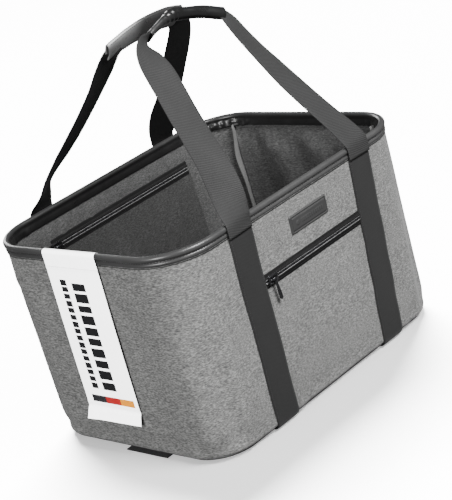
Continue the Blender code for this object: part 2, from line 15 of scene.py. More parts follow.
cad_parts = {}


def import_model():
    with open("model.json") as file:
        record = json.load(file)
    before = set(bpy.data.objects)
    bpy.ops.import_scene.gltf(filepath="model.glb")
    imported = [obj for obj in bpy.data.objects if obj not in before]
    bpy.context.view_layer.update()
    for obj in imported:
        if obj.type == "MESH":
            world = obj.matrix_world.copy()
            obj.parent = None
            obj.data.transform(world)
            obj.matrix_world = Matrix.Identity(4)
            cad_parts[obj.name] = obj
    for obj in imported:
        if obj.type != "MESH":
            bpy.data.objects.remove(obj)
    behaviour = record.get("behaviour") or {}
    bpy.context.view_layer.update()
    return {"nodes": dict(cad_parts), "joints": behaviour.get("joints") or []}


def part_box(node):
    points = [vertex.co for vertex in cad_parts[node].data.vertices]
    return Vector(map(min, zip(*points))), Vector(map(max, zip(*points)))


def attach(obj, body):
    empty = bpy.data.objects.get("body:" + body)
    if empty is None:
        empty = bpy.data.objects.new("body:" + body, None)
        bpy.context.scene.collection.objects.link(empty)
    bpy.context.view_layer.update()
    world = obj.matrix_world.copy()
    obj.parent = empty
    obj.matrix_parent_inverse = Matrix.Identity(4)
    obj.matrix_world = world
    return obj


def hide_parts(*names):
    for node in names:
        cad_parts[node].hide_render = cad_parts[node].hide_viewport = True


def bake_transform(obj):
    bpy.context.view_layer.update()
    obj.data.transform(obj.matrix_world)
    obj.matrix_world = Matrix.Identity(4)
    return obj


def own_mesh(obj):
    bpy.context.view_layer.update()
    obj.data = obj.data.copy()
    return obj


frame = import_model()

# Places taken from the frame.
WALL_LOW, WALL_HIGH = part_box("rear_outer_panel")
BOTTOM_LOW, BOTTOM_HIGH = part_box("bottom_panel")
_, COVER_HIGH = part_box("rim_cover")
BAND_LOW, BAND_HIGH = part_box("closing_band")
FLOOR_LOW, FLOOR_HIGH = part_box("floor_lining")
STRAP_LOW, STRAP_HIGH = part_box("rear_strap_left")
TAG_LOW, TAG_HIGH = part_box("hang_tag_flap")
SEAM_Z, WALL_TOP, RIM_TOP = WALL_LOW.z, WALL_HIGH.z, COVER_HIGH.z
JOINTS = {joint["name"]: joint for joint in frame["joints"]}
PIVOT_Y, PIVOT_Z = JOINTS["rear_handle_swing"]["pos_m"][1:]

# The basket's own sizes.
FILLET = 0.008
UPRIGHT_Z = 0.271
HALF_X, HALF_Y_TOP = WALL_HIGH.x, WALL_HIGH.y
HALF_Y_FOOT = BOTTOM_HIGH.y + FILLET + 0.0003
CORNER_TOP, CORNER_FOOT = 0.0733, 0.062
WALL_TILT = math.atan((HALF_Y_TOP - HALF_Y_FOOT) / (UPRIGHT_Z - SEAM_Z - FILLET))
END_SEAM_Y = -0.048
TUBE_RADIUS, RIM_CORNER = 0.0045, 0.0715
STRAP_WIDTH, WEBBING = 0.043, 0.0016
OFF_WALL = 0.0004 + WEBBING / 2
LINING_INSET, LINING_TOP = 0.0036, 0.272
MID_HEIGHT = 0.15
# The long lining panels turn the corners and meet the end panels this many degrees past them.
SEAM_TURN = 23.0
FRONT_LEAN, REAR_LEAN = math.radians(27.9), math.radians(39.2)

# How much of its height the cloth keeps when the bag is folded.
SQUASH_KEEP = 1 - JOINTS["fold"]["range_m"][1] / (WALL_TOP - SEAM_Z)
LABEL_KEEP = SQUASH_KEEP - 0.019

# Where things are sewn to the walls, so that the cloth lies flat under them.
STRAP_TOPS = {"left": -0.1190, "right": 0.1265}
STRAP_FEET = {"left": -0.1145, "right": 0.1175}
ZIP_Z, ZIP_ENDS = 0.197, (-0.0985, 0.1025)
INNER_ZIP_Z, INNER_ZIP_ENDS = 0.239, (-0.134, 0.148)
LABEL_BOX = ((-0.030, 0.046), (0.231, 0.257))

UP = np.array((0.0, 0.0, 1.0))


# Small maths helpers.


def ease(value, low, high):
    """A smooth step from 0 at low to 1 at high."""
    t = np.clip((np.asarray(value, float) - low) / (high - low), 0.0, 1.0)
    return t * t * (3 - 2 * t)


def window(value, low, high, edge):
    """1 between low and high, with a smooth edge outside them."""
    return ease(value, low - edge, low) * (1 - ease(value, high, high + edge))


def bump_at(value, middle, half_width):
    """A smooth bell of height 1."""
    return np.exp(-(((np.asarray(value, float) - middle) / half_width) ** 2))


def wander(points, scale, seed=0.0):
    """Smooth noise from -1 to 1 at points (..., 3)."""
    offset = Vector((seed, seed * 1.7, -seed))
    flat = np.asarray(points).reshape(-1, 3) * np.asarray(scale, float)
    return np.array([noise.noise(Vector(p) + offset) for p in flat]).reshape(np.shape(points)[:-1])


def circle(count):
    """Angles of count points round a ring."""
    return [math.tau * k / count for k in range(count)]


def curve_through(points, steps):
    """A Catmull-Rom curve through points (n, k)."""
    points = np.asarray(points, float)
    padded = np.vstack([2 * points[0] - points[1], points, 2 * points[-1] - points[-2]])
    made = []
    for a, b, c, d in zip(padded, padded[1:], padded[2:], padded[3:]):
        for t in np.arange(steps) / steps:
            bend = (2 * a - 5 * b + 4 * c - d) * t**2 + (3 * b - a - 3 * c + d) * t**3
            made.append(0.5 * (2 * b + (c - a) * t + bend))
    return np.array([*made, points[-1]])


def lengths_along(points):
    steps = np.linalg.norm(np.diff(np.asarray(points)[:, :3], axis=0), axis=1)
    return np.concatenate([[0], np.cumsum(steps)])


def respaced(points, count):
    """The same line as count evenly spaced points. Columns past the third are carried along."""
    along = lengths_along(points)
    at = np.linspace(0, along[-1], count)
    return np.stack([np.interp(at, along, column) for column in np.asarray(points).T], axis=1)


def unit(vectors):
    return vectors / np.maximum(np.linalg.norm(vectors, axis=-1, keepdims=True), 1e-12)


# Mesh helpers.


def link_object(name, data):
    made = bpy.data.objects.new(name, data)
    bpy.context.scene.collection.objects.link(made)
    return made


def add_object(name, mesh_data, material, smooth_angle=None):
    mesh = bpy.data.meshes.new(name)
    mesh_data.to_mesh(mesh)
    mesh_data.free()
    mesh.shade_smooth()
    if smooth_angle is not None:
        mesh.set_sharp_from_angle(angle=math.radians(smooth_angle))
    mesh.materials.append(material)
    return link_object(name, mesh)


def lattice(name, points, material, across=None, ring=False, loop=False, caps=False):
    """A mesh through points (rows, columns, 3). ring closes the columns, loop closes the rows and
    caps fills both ends. Its UV is in metres, and across gives each column's place."""
    points = np.asarray(points, float)
    rows, columns = points.shape[:2]
    if across is None:
        middle = points[rows // 2]
        across = lengths_along(np.vstack([middle, middle[:1]]) if ring else middle)
    line = points[:, 0]
    along = lengths_along(np.vstack([line, line[:1]]) if loop else line)
    data = bmesh.new()
    layer = data.loops.layers.uv.new("metres")
    verts = [[data.verts.new(p) for p in row] for row in points]
    for i in range(rows if loop else rows - 1):
        for j in range(columns if ring else columns - 1):
            k, m = (i + 1) % rows, (j + 1) % columns
            face = data.faces.new((verts[i][j], verts[i][m], verts[k][m], verts[k][j]))
            corners = ((i, j), (i, j + 1), (i + 1, j + 1), (i + 1, j))
            for corner, (row, column) in zip(face.loops, corners):
                corner[layer].uv = (across[column], along[row])
    if caps:
        for row in (verts[0][::-1], verts[-1]):
            data.faces.new(row)
    if ring or caps:
        bmesh.ops.recalc_face_normals(data, faces=data.faces)
    return add_object(name, data, material)


def tube(name, centres, outs, ups, radii, count, material, **closed):
    """A bar of oval section: radii are its half sizes along outs and ups."""
    centres = np.asarray(centres, float)
    outs, ups = (np.broadcast_to(v, centres.shape) * radius for v, radius in zip((outs, ups), radii))
    ring = [centres + outs * math.cos(turn) + ups * math.sin(turn) for turn in circle(count)]
    return lattice(name, np.stack(ring, axis=1), material, ring=True, **closed)


def join(name, parts):
    """One mesh object made of several that have one material each."""
    data, materials = bmesh.new(), []
    for part in parts:
        start = len(data.faces)
        data.from_mesh(part.data)
        data.faces.ensure_lookup_table()
        if part.data.materials[0] not in materials:
            materials.append(part.data.materials[0])
        for face in data.faces[start:]:
            face.material_index = materials.index(part.data.materials[0])
        bpy.data.objects.remove(part, do_unlink=True)
    mesh = bpy.data.meshes.new(name)
    data.to_mesh(mesh)
    data.free()
    for material in materials:
        mesh.materials.append(material)
    return link_object(name, mesh)


def rounded_box(name, size, material, bevel):
    """A rounded box about the origin."""
    data = bmesh.new()
    bmesh.ops.create_cube(data, size=1.0, matrix=Matrix.Diagonal((*size, 1.0)))
    bmesh.ops.bevel(data, geom=data.edges[:], offset=bevel, segments=3, affect="EDGES", profile=0.5)
    return add_object(name, data, material)


def place(obj, matrix):
    obj.data.transform(matrix)
    return obj


def stitches(name, line, normals, material, pitch=0.0034, length=0.0024, width=0.0006):
    """A row of thread stitches along a line that lies on a surface with those normals."""
    lift, shoulder, sides = 0.0002, 0.32, 6
    packed = np.hstack([line, np.broadcast_to(np.asarray(normals, float), np.shape(line))])
    packed = respaced(packed, max(2, int(round(lengths_along(line)[-1] / pitch)) + 1))
    data = bmesh.new()
    for here, after in zip(packed, packed[1:]):
        along, up = unit(after[:3] - here[:3]), unit(here[3:])
        side = np.cross(along, up)
        middle = (here[:3] + after[:3]) / 2 + up * lift
        tips = [data.verts.new(middle + along * length / 2 * k - up * lift) for k in (-1, 1)]
        girdle = []
        for turn in circle(sides):
            rim = middle + (side * math.cos(turn) + up * math.sin(turn)) * width / 2
            girdle.append([data.verts.new(rim + along * length * shoulder * end) for end in (-1, 1)])
        for a, b in zip(girdle, girdle[1:] + girdle[:1]):
            data.faces.new((a[0], a[1], b[1], b[0]))
            data.faces.new((tips[0], a[0], b[0]))
            data.faces.new((tips[1], b[1], a[1]))
    bmesh.ops.recalc_face_normals(data, faces=data.faces)
    return add_object(name, data, material)


def dress(piece, slot, body, *nodes, keep=None):
    """Hangs a piece on its body and lets it stand for these CAD nodes, which it hides. slot is not
    used. With keep, the piece gets a mesh of its own."""
    if nodes:
        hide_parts(*nodes)
    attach(piece, body)
    if keep is not None:
        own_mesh(piece)


# Materials.


def shade(colour, factor):
    return tuple(c * factor for c in colour)


def grey(value):
    return (value,) * 3


class Nodes:
    """A small builder for one material's shader nodes."""

    def __init__(self, name, colour, roughness, metallic=0.0):
        self.material = bpy.data.materials.new(name)
        self.material.use_nodes = True
        self.tree = self.material.node_tree
        self.shader = self.tree.nodes["Principled BSDF"]
        self.material.diffuse_color = (*colour, 1.0)
        self.set(Base_Color=(*colour, 1.0), Roughness=roughness, Metallic=metallic)

    def set(self, **values):
        for name, value in values.items():
            self.shader.inputs[name.replace("_", " ")].default_value = value

    def node(self, kind, source=None, **values):
        """A node whose first input may be linked. values are its settings or its inputs."""
        made = self.tree.nodes.new("ShaderNode" + kind)
        for key, value in values.items():
            if hasattr(made, key):
                setattr(made, key, value)
            else:
                made.inputs[key].default_value = value
        if source is not None:
            self.tree.links.new(source, made.inputs[0])
        return made

    def coordinates(self, kind, scale=(1, 1, 1), turn=(0, 0, 0)):
        """Scaled texture coordinates: kind is "Object" or "UV", both in metres."""
        texture = self.node("TexCoord")
        return self.node("Mapping", texture.outputs[kind], Scale=scale, Rotation=turn).outputs[0]

    def noise(self, vector, scale=1.0, detail=3.0, roughness=0.55):
        found = self.node("TexNoise", vector, Scale=scale, Detail=detail, Roughness=roughness)
        return found.outputs["Fac"]

    def wave(self, vector, scale, distortion, direction):
        found = self.node("TexWave", vector, bands_direction=direction, Scale=scale, Distortion=distortion)
        return found.outputs["Fac"]

    def ramp(self, source, *stops):
        """Stops are (position, grey value or colour)."""
        made = self.node("ValToRGB", source)
        elements = made.color_ramp.elements
        while len(elements) < len(stops):
            elements.new(0.5)
        for element, (position, tone) in zip(elements, stops):
            element.position = position
            element.color = (*(tone if isinstance(tone, tuple) else grey(tone)), 1.0)
        return made.outputs["Color"]

    def times(self, first, source, *stops):
        """The first colour multiplied by a ramp over source."""
        second = self.ramp(source, *stops)
        made = self.node("Mix", data_type="RGBA", blend_type="MULTIPLY")
        made.inputs[0].default_value = 1.0
        self.tree.links.new(first, made.inputs[6])
        self.tree.links.new(second, made.inputs[7])
        return made.outputs[2]

    def part_of(self, vector, axis, *stops):
        """Stops over one axis of a vector, for times()."""
        return (self.node("SeparateXYZ", vector).outputs[axis], *stops)

    def maths(self, operation, first, second):
        made = self.node("Math", first, operation=operation)
        if isinstance(second, float):
            made.inputs[1].default_value = second
        else:
            self.tree.links.new(second, made.inputs[1])
        return made.outputs[0]

    def bump(self, height, distance, strength, before=None):
        made = self.node("Bump", Strength=strength, Distance=distance)
        self.tree.links.new(height, made.inputs["Height"])
        if before is not None:
            self.tree.links.new(before, made.inputs["Normal"])
        return made.outputs["Normal"]

    def finish(self, **linked):
        for name, value in linked.items():
            self.tree.links.new(value, self.shader.inputs[name.replace("_", " ")])
        return self.material


def heather_cloth(name, dark, middle, light, sheen):
    """Melange cloth: short streaks of lighter and darker yarn that run round the bag."""
    made = Nodes(name, middle, 0.9)
    streak = made.noise(made.coordinates("Object", (330, 230, 760)), 1.0, 2.0, 0.6)
    long_streak = made.noise(made.coordinates("Object", (170, 52, 600)), 1.0, 2.0, 0.6)
    mottle = made.noise(made.coordinates("Object", (70, 70, 70)), 1.0, 2.0, 0.5)
    blotch = made.noise(made.coordinates("Object", (9, 9, 9)), 1.0, 3.0, 0.5)
    colour = made.ramp(streak, (0.34, dark), (0.50, middle), (0.66, light))
    colour = made.times(colour, long_streak, (0.32, 0.76), (0.50, 1.0), (0.68, 1.18))
    for patches, spread in ((blotch, 0.07), (mottle, 0.06)):
        colour = made.times(colour, patches, (0.3, 1 - spread), (0.7, 1 + spread))
    weft = made.wave(made.coordinates("Object"), 360.0, 1.2, "Z")
    normal = made.bump(weft, 0.00018, 0.5, made.bump(streak, 0.0005, 0.45))
    made.set(Sheen_Weight=sheen, Sheen_Roughness=0.5, Specular_IOR_Level=0.25)
    return made.finish(Base_Color=colour, Normal=normal)


def webbing_cloth(name, tone, rib=0.00035, light=1.35, pitch=1.6, inner=1.0, sheen=0.15):
    """Woven strap: fine ribs across and a twill that leans over them. pitch widens both and inner
    darkens the strap's inner face as painted shade. Its UV is in metres."""
    made = Nodes(name, tone, 0.72)
    uv = made.coordinates("UV")
    leaning = made.coordinates("UV", turn=(0, 0, math.radians(32)))
    ribs = made.wave(uv, 520.0 / pitch, 0.6, "X")
    twill = made.wave(leaning, 314.0 / pitch, 0.4, "Y")
    height = made.maths("ADD", made.maths("MULTIPLY", ribs, 0.4), made.maths("MULTIPLY", twill, 0.6))
    fuzz = made.noise(made.coordinates("UV", (1500, 500, 1)), 1.0, 2.0)
    wear = made.noise(made.coordinates("UV", (28, 14, 1)), 1.0, 3.0)
    colour = made.ramp(height, (0.15, shade(tone, 0.72)), (0.85, shade(tone, light)))
    colour = made.times(colour, fuzz, (0.3, 0.85), (0.7, 1.15))
    colour = made.times(colour, wear, (0.3, 0.90), (0.7, 1.10))
    # Painted shade: the inner face's colour is scaled down by inner.
    if inner < 1:
        across = made.part_of(made.coordinates("UV", (10, 10, 1)), "X", (0.24, 1.0), (0.26, inner))
        colour = made.times(colour, *across)
    made.set(Sheen_Weight=sheen * inner, Specular_IOR_Level=0.3)
    return made.finish(Base_Color=colour, Normal=made.bump(height, rib, 0.8))


def leather(name, tone, roughness, creases=0.0006, gloss=0.25, painted_light=None):
    """Coated artificial leather: pebbled grain, faint creases and a semi-gloss coat. The last argument
    gives (coordinates, scale, axis, stops) for a tone painted over the piece: painted shade or a painted
    highlight."""
    made = Nodes(name, tone, roughness)
    place_at = made.coordinates("Object")
    pebble = made.node("TexVoronoi", place_at, Scale=900.0).outputs["Distance"]
    crease = made.noise(place_at, 55.0, 4.0, 0.6)
    blotch = made.noise(place_at, 14.0, 3.0, 0.5)
    colour = made.ramp(blotch, (0.3, shade(tone, 0.82)), (0.7, shade(tone, 1.22)))
    # Painted shade or a painted highlight, as a tone ramp over one axis of the piece.
    if painted_light:
        kind, scale, axis, *stops = painted_light
        colour = made.times(colour, *made.part_of(made.coordinates(kind, scale), axis, *stops))
    rough = made.ramp(crease, (0.3, roughness * 0.8), (0.7, roughness * 1.25))
    normal = made.bump(crease, creases, 0.5, made.bump(pebble, 0.00012, 0.6))
    made.set(Coat_Weight=gloss, Coat_Roughness=0.25)
    return made.finish(Base_Color=colour, Roughness=rough, Normal=normal)


def plain(name, tone, roughness, metallic=0.0, scale=400.0, depth=0.00005, spread=0.12):
    """A hard material with fine mottling in its colour, roughness and surface."""
    made = Nodes(name, tone, roughness, metallic)
    fine = made.noise(made.coordinates("Object"), scale, 3.0)
    colour = made.ramp(fine, (0.3, shade(tone, 1 - spread)), (0.7, shade(tone, 1 + spread)))
    rough = made.ramp(fine, (0.3, roughness * 0.85), (0.7, min(roughness * 1.2, 1.0)))
    return made.finish(Base_Color=colour, Roughness=rough, Normal=made.bump(fine, depth, 0.5))


OUTER = heather_cloth("outer_heather", grey(0.105), (0.198, 0.198, 0.193), (0.330, 0.330, 0.323), 0.25)
LINING = heather_cloth("lining_heather", grey(0.048), (0.078, 0.078, 0.077), grey(0.114), 0.12)
POCKET = heather_cloth("pocket_heather", grey(0.036), (0.053, 0.053, 0.052), grey(0.074), 0.10)
# Painted shade: the handle webbing's inner face, which the rear legs show, is darkened to 0.14 of its tone.
WEBBING_CLOTH = webbing_cloth("strap_webbing", grey(0.032), 0.0005, 1.5, 2.1, 0.14)
# Painted shade: the sewn webbing is the handles' cloth with a darker tone; its flatter, finer weave is its
# own.
SEWN_WEBBING = webbing_cloth("sewn_webbing", grey(0.0170), 0.00018, 1.15)
ELASTIC = webbing_cloth("band_elastic", (0.018, 0.018, 0.019), 0.0005)
BINDING = webbing_cloth("seam_binding", (0.145, 0.145, 0.143))
TAPE = webbing_cloth("zip_tape_cloth", grey(0.006), 0.0002, sheen=0.0)
# Painted shade: the rim's facing inside the mouth is darker than the bead and the roll outside.
COVER = leather(
    "rim_leather", grey(0.056), 0.33, painted_light=("UV", (10, 10, 1), "X", (0.23, 1.0), (0.31, 0.20))
)
# Painted highlight: the grips' colour grows lighter towards their left ends.
GRIP = leather(
    "grip_leather", grey(0.011), 0.30, creases=0.0009, gloss=0.5,
    painted_light=("Object", (-10, 1, 1), "X", (0.20, 0.8), (0.60, 3.6)),
)
# Painted reflection: the rear grip gets a lighter tone than the front one, standing in for the sheen on its
# underside.
REAR_GRIP = leather(
    "rear_grip_leather", grey(0.043), 0.30, gloss=0.6,
    painted_light=("Object", (-10, 1, 1), "X", (0.08, 1.2), (0.24, 3.9), (0.50, 8.0)),
)
PATCH = leather("patch_leather", grey(0.042), 0.48, gloss=0.1)
PIPING = leather("piping_leather", grey(0.032), 0.5)
TEETH = plain("zip_coil", (0.020, 0.020, 0.021), 0.28)
SILVER = plain("coil_edge", (0.55, 0.55, 0.56), 0.35, 0.5)
GUNMETAL = plain("gunmetal", (0.085, 0.085, 0.090), 0.26, 0.9)
THREAD = plain("thread", (0.045, 0.045, 0.046), 0.7)
DARK_THREAD = plain("dark_thread", grey(0.020), 0.6)
CARD = plain("tag_card", grey(0.84), 0.42, scale=120.0, spread=0.02)
INK = plain("tag_ink", (0.012, 0.012, 0.014), 0.45)
RED_INK = plain("tag_red", (0.36, 0.004, 0.004), 0.6)
AMBER_INK = plain("tag_amber", (0.78, 0.27, 0.002), 0.6)
BOARD = plain("base_board_sheet", grey(0.040), 0.6)
ALUMINIUM = plain("frame_aluminium", (0.72, 0.73, 0.75), 0.32, 1.0, scale=900.0, spread=0.06)
FOAM = plain("grip_foam", grey(0.08), 0.95, scale=1200.0, depth=0.0003)


# The basket's outline.


def halves(z, inset=0.0):
    """Half length, half width and corner radius of the wall at height z, drawn in by inset."""
    up = np.clip((z - SEAM_Z - FILLET) / (UPRIGHT_Z - SEAM_Z - FILLET), 0, 1)
    half_y = HALF_Y_FOOT + (HALF_Y_TOP - HALF_Y_FOOT) * up
    corner = CORNER_FOOT + (CORNER_TOP - CORNER_FOOT) * up
    return HALF_X - inset, half_y - inset, corner - inset


def foot_inset(z):
    """How far the rounded lower edge draws the wall in at height z."""
    rise = np.clip((z - SEAM_Z) / FILLET, 0, 1)
    return FILLET * (1 - math.sqrt(1 - (1 - rise) ** 2))


def stations(first, last, spacing=0.0045, turn=4.0):
    """Places round the outline from one to another, counterclockwise from +X. A place is ("side",
    side, share from -1 to 1) on a straight or ("corner", corner, degrees) on a corner."""
    places = []
    for side, straight in enumerate((HALF_Y_FOOT - CORNER_FOOT, HALF_X - CORNER_FOOT) * 2):
        count = int(round(2 * straight / spacing))
        places += [("side", side, -1 + 2 * i / count) for i in range(count)]
        count = int(round(90 / turn))
        places += [("corner", side, 90 * i / count) for i in range(count)]

    def key(station):
        kind, index, value = station
        return 2 * index + ((value + 1) / 2 if kind == "side" else 1 + value / 90)

    low, high = key(first), key(last)
    high += 8 * (high <= low)
    ring = [(key(station) + cycle, station) for cycle in (0, 8) for station in places]
    return [first, *(station for at, station in ring if low + 1e-6 < at < high - 1e-6), last]


SIDES = ((1, 0, 0, 1), (0, 1, -1, 0), (-1, 0, 0, -1), (0, -1, 1, 0))  # outward, then along
CORNERS = ((1, 1), (-1, 1), (-1, -1), (1, -1))


def outline_point(station, half_x, half_y, corner):
    """(x, y) and the outward direction at a station."""
    kind, index, value = station
    if kind == "side":
        out_x, out_y, along_x, along_y = SIDES[index]
        straight = value * ((half_y if out_x else half_x) - corner)
        point = (out_x * half_x + along_x * straight, out_y * half_y + along_y * straight)
        return np.array(point), np.array((out_x, out_y), float)
    angle = math.radians(index * 90 + value)
    out = np.array((math.cos(angle), math.sin(angle)))
    side_x, side_y = CORNERS[index]
    return np.array((side_x * (half_x - corner), side_y * (half_y - corner))) + corner * out, out


def on_side(index, place_at):
    """The station on a straight side whose x or y is place_at, at mid height."""
    half_x, half_y, corner = halves(MID_HEIGHT)
    straight = (half_y if index in (0, 2) else half_x) - corner
    return ("side", index, (1, -1, -1, 1)[index] * place_at / straight)


def wall_grid(places, heights, inset=0.0, follow_foot=True):
    """Points and outward directions (heights, places, 3) on the wall."""
    points, outs = [], []
    for z in heights:
        sizes = np.array(halves(z, inset)) - (foot_inset(z) if follow_foot else 0.0)
        found = [outline_point(station, *sizes) for station in places]
        points.append([(*point, z) for point, out in found])
        outs.append([(*out, 0.0) for point, out in found])
    return np.array(points), np.array(outs)


def outline_loop(inset, z):
    """Points and outward directions round the outline at one height."""
    places = stations(on_side(0, 0.0), on_side(0, 0.0))[:-1]
    points, outs = wall_grid(places, [z], inset, follow_foot=False)
    return points[0], outs[0]


def wall_y(z, side, inset=0.0):
    return side * halves(z, inset)[1]


def strap_x(side, z):
    share = np.clip((z - SEAM_Z) / (RIM_TOP - SEAM_Z), 0, 1)
    return STRAP_FEET[side] + (STRAP_TOPS[side] - STRAP_FEET[side]) * share


def line_length(points):
    return float(lengths_along(points)[-1])


# The outer cloth.


def calm(x, y, z):
    """1 where the outer cloth is free to wave and 0 where something is sewn to it."""
    long_wall = ease(np.abs(y), 0.150, 0.160)
    free = 1 - ease(z, 0.258, 0.270)
    for side in STRAP_FEET:
        away = np.abs(x - strap_x(side, z)) - STRAP_WIDTH / 2
        free = free * (1 - long_wall * (1 - ease(away, 0.0, 0.014)))
    front = long_wall * (y < 0)
    in_zip = 1.3 * bump_at(z, ZIP_Z, 0.013) * window(x, *ZIP_ENDS, 0.03)
    (x0, x1), (z0, z1) = LABEL_BOX
    in_label = window(x, x0, x1, 0.015) * window(z, z0, z1, 0.015)
    return free * (1 - front * np.minimum(in_zip, 1)) * (1 - front * in_label)


# Height, place round the corner and half width of each flute on a front corner.
FLUTES = (
    (0.0036, 0.032, 0.020), (-0.0052, -0.020, 0.015), (0.0020, -0.044, 0.012), (-0.0018, 0.060, 0.014),
)
# Slope, start, depth, half width and length of creases that fan out from the rear left corner.
CREASES = (
    (1.0, 0.176, 0.0032, 0.007, 0.13), (1.6, 0.172, -0.0036, 0.008, 0.15),
    (2.3, 0.160, 0.0036, 0.009, 0.17), (3.4, 0.150, -0.0024, 0.009, 0.18),
    (2.6, 0.118, 0.0016, 0.008, 0.10),
)


def outer_waves(points):
    """How far the outer cloth stands off its plain wall."""
    x, y, z = np.moveaxis(points, -1, 0)
    waves = 0.0011 * wander(points, (14, 14, 5), 3.1) + 0.0005 * wander(points, (38, 38, 16), 7.7)
    # Flutes run down the two front corners, from mid height to the base.
    for side_x, strength in ((-1, 1.0), (1, 0.6)):
        round_corner = (x * side_x - 0.164) - (np.abs(y) - 0.110)
        flute = 0.0016 * bump_at(round_corner, 0.004, 0.008) * (1 - ease(z, 0.03, 0.08))
        flute += sum(height * bump_at(round_corner, at, width) for height, at, width in FLUTES)
        front = (y < -0.10) & (x * side_x > 0.13)
        waves += strength * flute * front * ease(z, 0.008, 0.035) * (1 - ease(z, 0.11, 0.22))
    left_end = (x < -0.20) & (y > -0.02)
    for slope, start, depth, width, length in CREASES:
        run, drop = start - y, 0.278 - z
        across, along = drop - slope * run, run + slope * drop
        size = math.hypot(1, slope)
        fold = bump_at(across / size, 0, width) * window(along / size, 0.06, length - 0.03, 0.03)
        waves += depth * fold * left_end
    # Hollows beside the tag.
    hollows = 0.0005 * bump_at(y, -0.115, 0.016) - 0.0006 * bump_at(y, -0.085, 0.018)
    waves += hollows * (x < -0.2) * ease(z, 0.010, 0.05) * (1 - ease(z, 0.20, 0.27))
    # The lower edge is pulled in, most of all round the rear left corner, and puffs at the straps.
    pull = 0.0014 + 0.0022 * (x < -0.16) * ease(y, -0.06, 0.10)
    waves -= pull * bump_at(z, 0.0190, 0.0125)
    puff = 0.0016 * (1 - ease(z, 0.012, 0.060)) * (np.abs(y) > 0.13)
    for side in STRAP_FEET:
        waves += puff * bump_at(np.abs(x - strap_x(side, z)) - STRAP_WIDTH / 2, 0.010, 0.008)
    return waves * calm(x, y, z)


def outer_panels():
    arc = SEAM_Z + FILLET * (1 - np.cos(np.linspace(0, math.pi / 2, 7)))
    heights = np.concatenate([arc, np.linspace(SEAM_Z + FILLET + 0.004, WALL_TOP, 62)])
    left, right = on_side(2, END_SEAM_Y), on_side(0, END_SEAM_Y)
    for side, first, last in (("front", left, right), ("rear", right, left)):
        points, outs = wall_grid(stations(first, last), heights)
        points += outs * outer_waves(points)[..., None]
        # The seam on each short end is a shallow groove.
        for column, depth in ((0, 0.0004), (1, 0.0001), (-1, 0.0004), (-2, 0.0001)):
            points[:, column] -= outs[:, column] * depth
        wall = lattice(f"outer_{side}", points, OUTER)
        dress(wall, "heather_fabric", "base", f"{side}_outer_panel", keep=SQUASH_KEEP)


# The base, seen from below and along its lower edge.


def flat_cloth(name, inset, z, count, material, lift):
    """A flat panel in rings round its middle. lift(points, share) is how far it stands over z."""
    outline, _ = outline_loop(inset, z)
    rings = []
    for share in np.linspace(1.0, 0.0, count):
        ring = outline * (share, share, 1.0)
        ring[:, 2] += lift(ring, share)
        rings.append(ring)
    return lattice(name, rings, material, ring=True)


def bottom_cloth():
    """The bottom panel, which sags a little between its edges."""

    def lift(points, share):
        quilt = 0.0005 * wander(points, (11, 11, 1), 1.3) * (1 - share**6)
        return 0.0002 + 0.0008 * (1 - share) + quilt

    made = flat_cloth("bottom_cloth", FILLET + 0.0003, SEAM_Z + 0.0004, 15, OUTER, lift)
    dress(made, "heather_fabric", "base", "bottom_panel")


def floor_lining():
    def lift(points, share):
        return 0.0012 * (1 - share**8) * (0.5 + 0.5 * wander(points, (13, 13, 1), 9.0))

    made = flat_cloth("floor_lining_cloth", LINING_INSET + 0.0008, FLOOR_HIGH.z, 14, LINING, lift)
    dress(made, "lining_fabric", "base", "floor_lining")


def base_piping():
    """The covered cord in the seam round the bottom panel."""
    points, outs = outline_loop(FILLET - 0.0001, SEAM_Z - 0.0011)
    made = tube("base_piping_cord", points, outs, UP, (0.0012, 0.0009), 10, PIPING, loop=True)
    dress(made, "cover_leather", "base", "base_piping")


# Webbing. Its section is given in shares of its width and of its thickness.
FACE = (
    (-0.500, 0.20), (-0.485, 0.46), (-0.40, 0.5), (-0.27, 0.5), (-0.135, 0.5), (0.0, 0.5), (0.135, 0.5),
    (0.27, 0.5), (0.40, 0.5), (0.485, 0.46), (0.500, 0.20),
)
RIBBON = [*FACE, *((place_at, -lift) for place_at, lift in reversed(FACE))]
# The outer face's UV runs round X = 0, and the inner face's runs back round this one.
FACE_U, INNER_FACE_U = 0.042, 0.05


def ribbon(name, centres, acrosses, widths, material, cups=0.0):
    """A woven strap along a line. cups bows its middle off its edges."""
    centres = np.asarray(centres, float)
    along = unit(np.gradient(centres, axis=0))
    acrosses = np.broadcast_to(acrosses, centres.shape)
    acrosses = unit(acrosses - (acrosses * along).sum(axis=1, keepdims=True) * along)
    ups = np.cross(acrosses, along)
    places, lifts = np.array(RIBBON).T
    widths, cups = (np.broadcast_to(values, len(centres))[:, None] for values in (widths, cups))
    sides, heights = places * widths, lifts * WEBBING + cups * (1 - 4 * places**2)
    points = centres[:, None] + acrosses[:, None] * sides[..., None] + ups[:, None] * heights[..., None]
    across = [*(FACE_U * places[: len(FACE)]), *(INNER_FACE_U - FACE_U * places[len(FACE) :])]
    across.append(INNER_FACE_U - FACE_U / 2)
    return lattice(name, points, material, across=across, ring=True, caps=True)


def closing_band():
    """Wide woven elastic under the base."""
    middle = (BAND_LOW + BAND_HIGH) / 2
    centres = [(x, middle.y, middle.z) for x in np.linspace(BAND_LOW.x, BAND_HIGH.x, 60)]
    band = ribbon("elastic_band", centres, (0, 1, 0), BAND_HIGH.y - BAND_LOW.y, ELASTIC)
    dress(band, "elastic", "base", "closing_band")


def base_straps():
    for side, x in STRAP_FEET.items():
        low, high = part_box(f"base_strap_{side}")
        centres = [(x, y, (low.z + high.z) / 2) for y in np.linspace(low.y, high.y, 40)]
        made = ribbon(f"base_webbing_{side}", centres, (1, 0, 0), STRAP_WIDTH, SEWN_WEBBING)
        dress(made, "webbing", "base", f"base_strap_{side}")


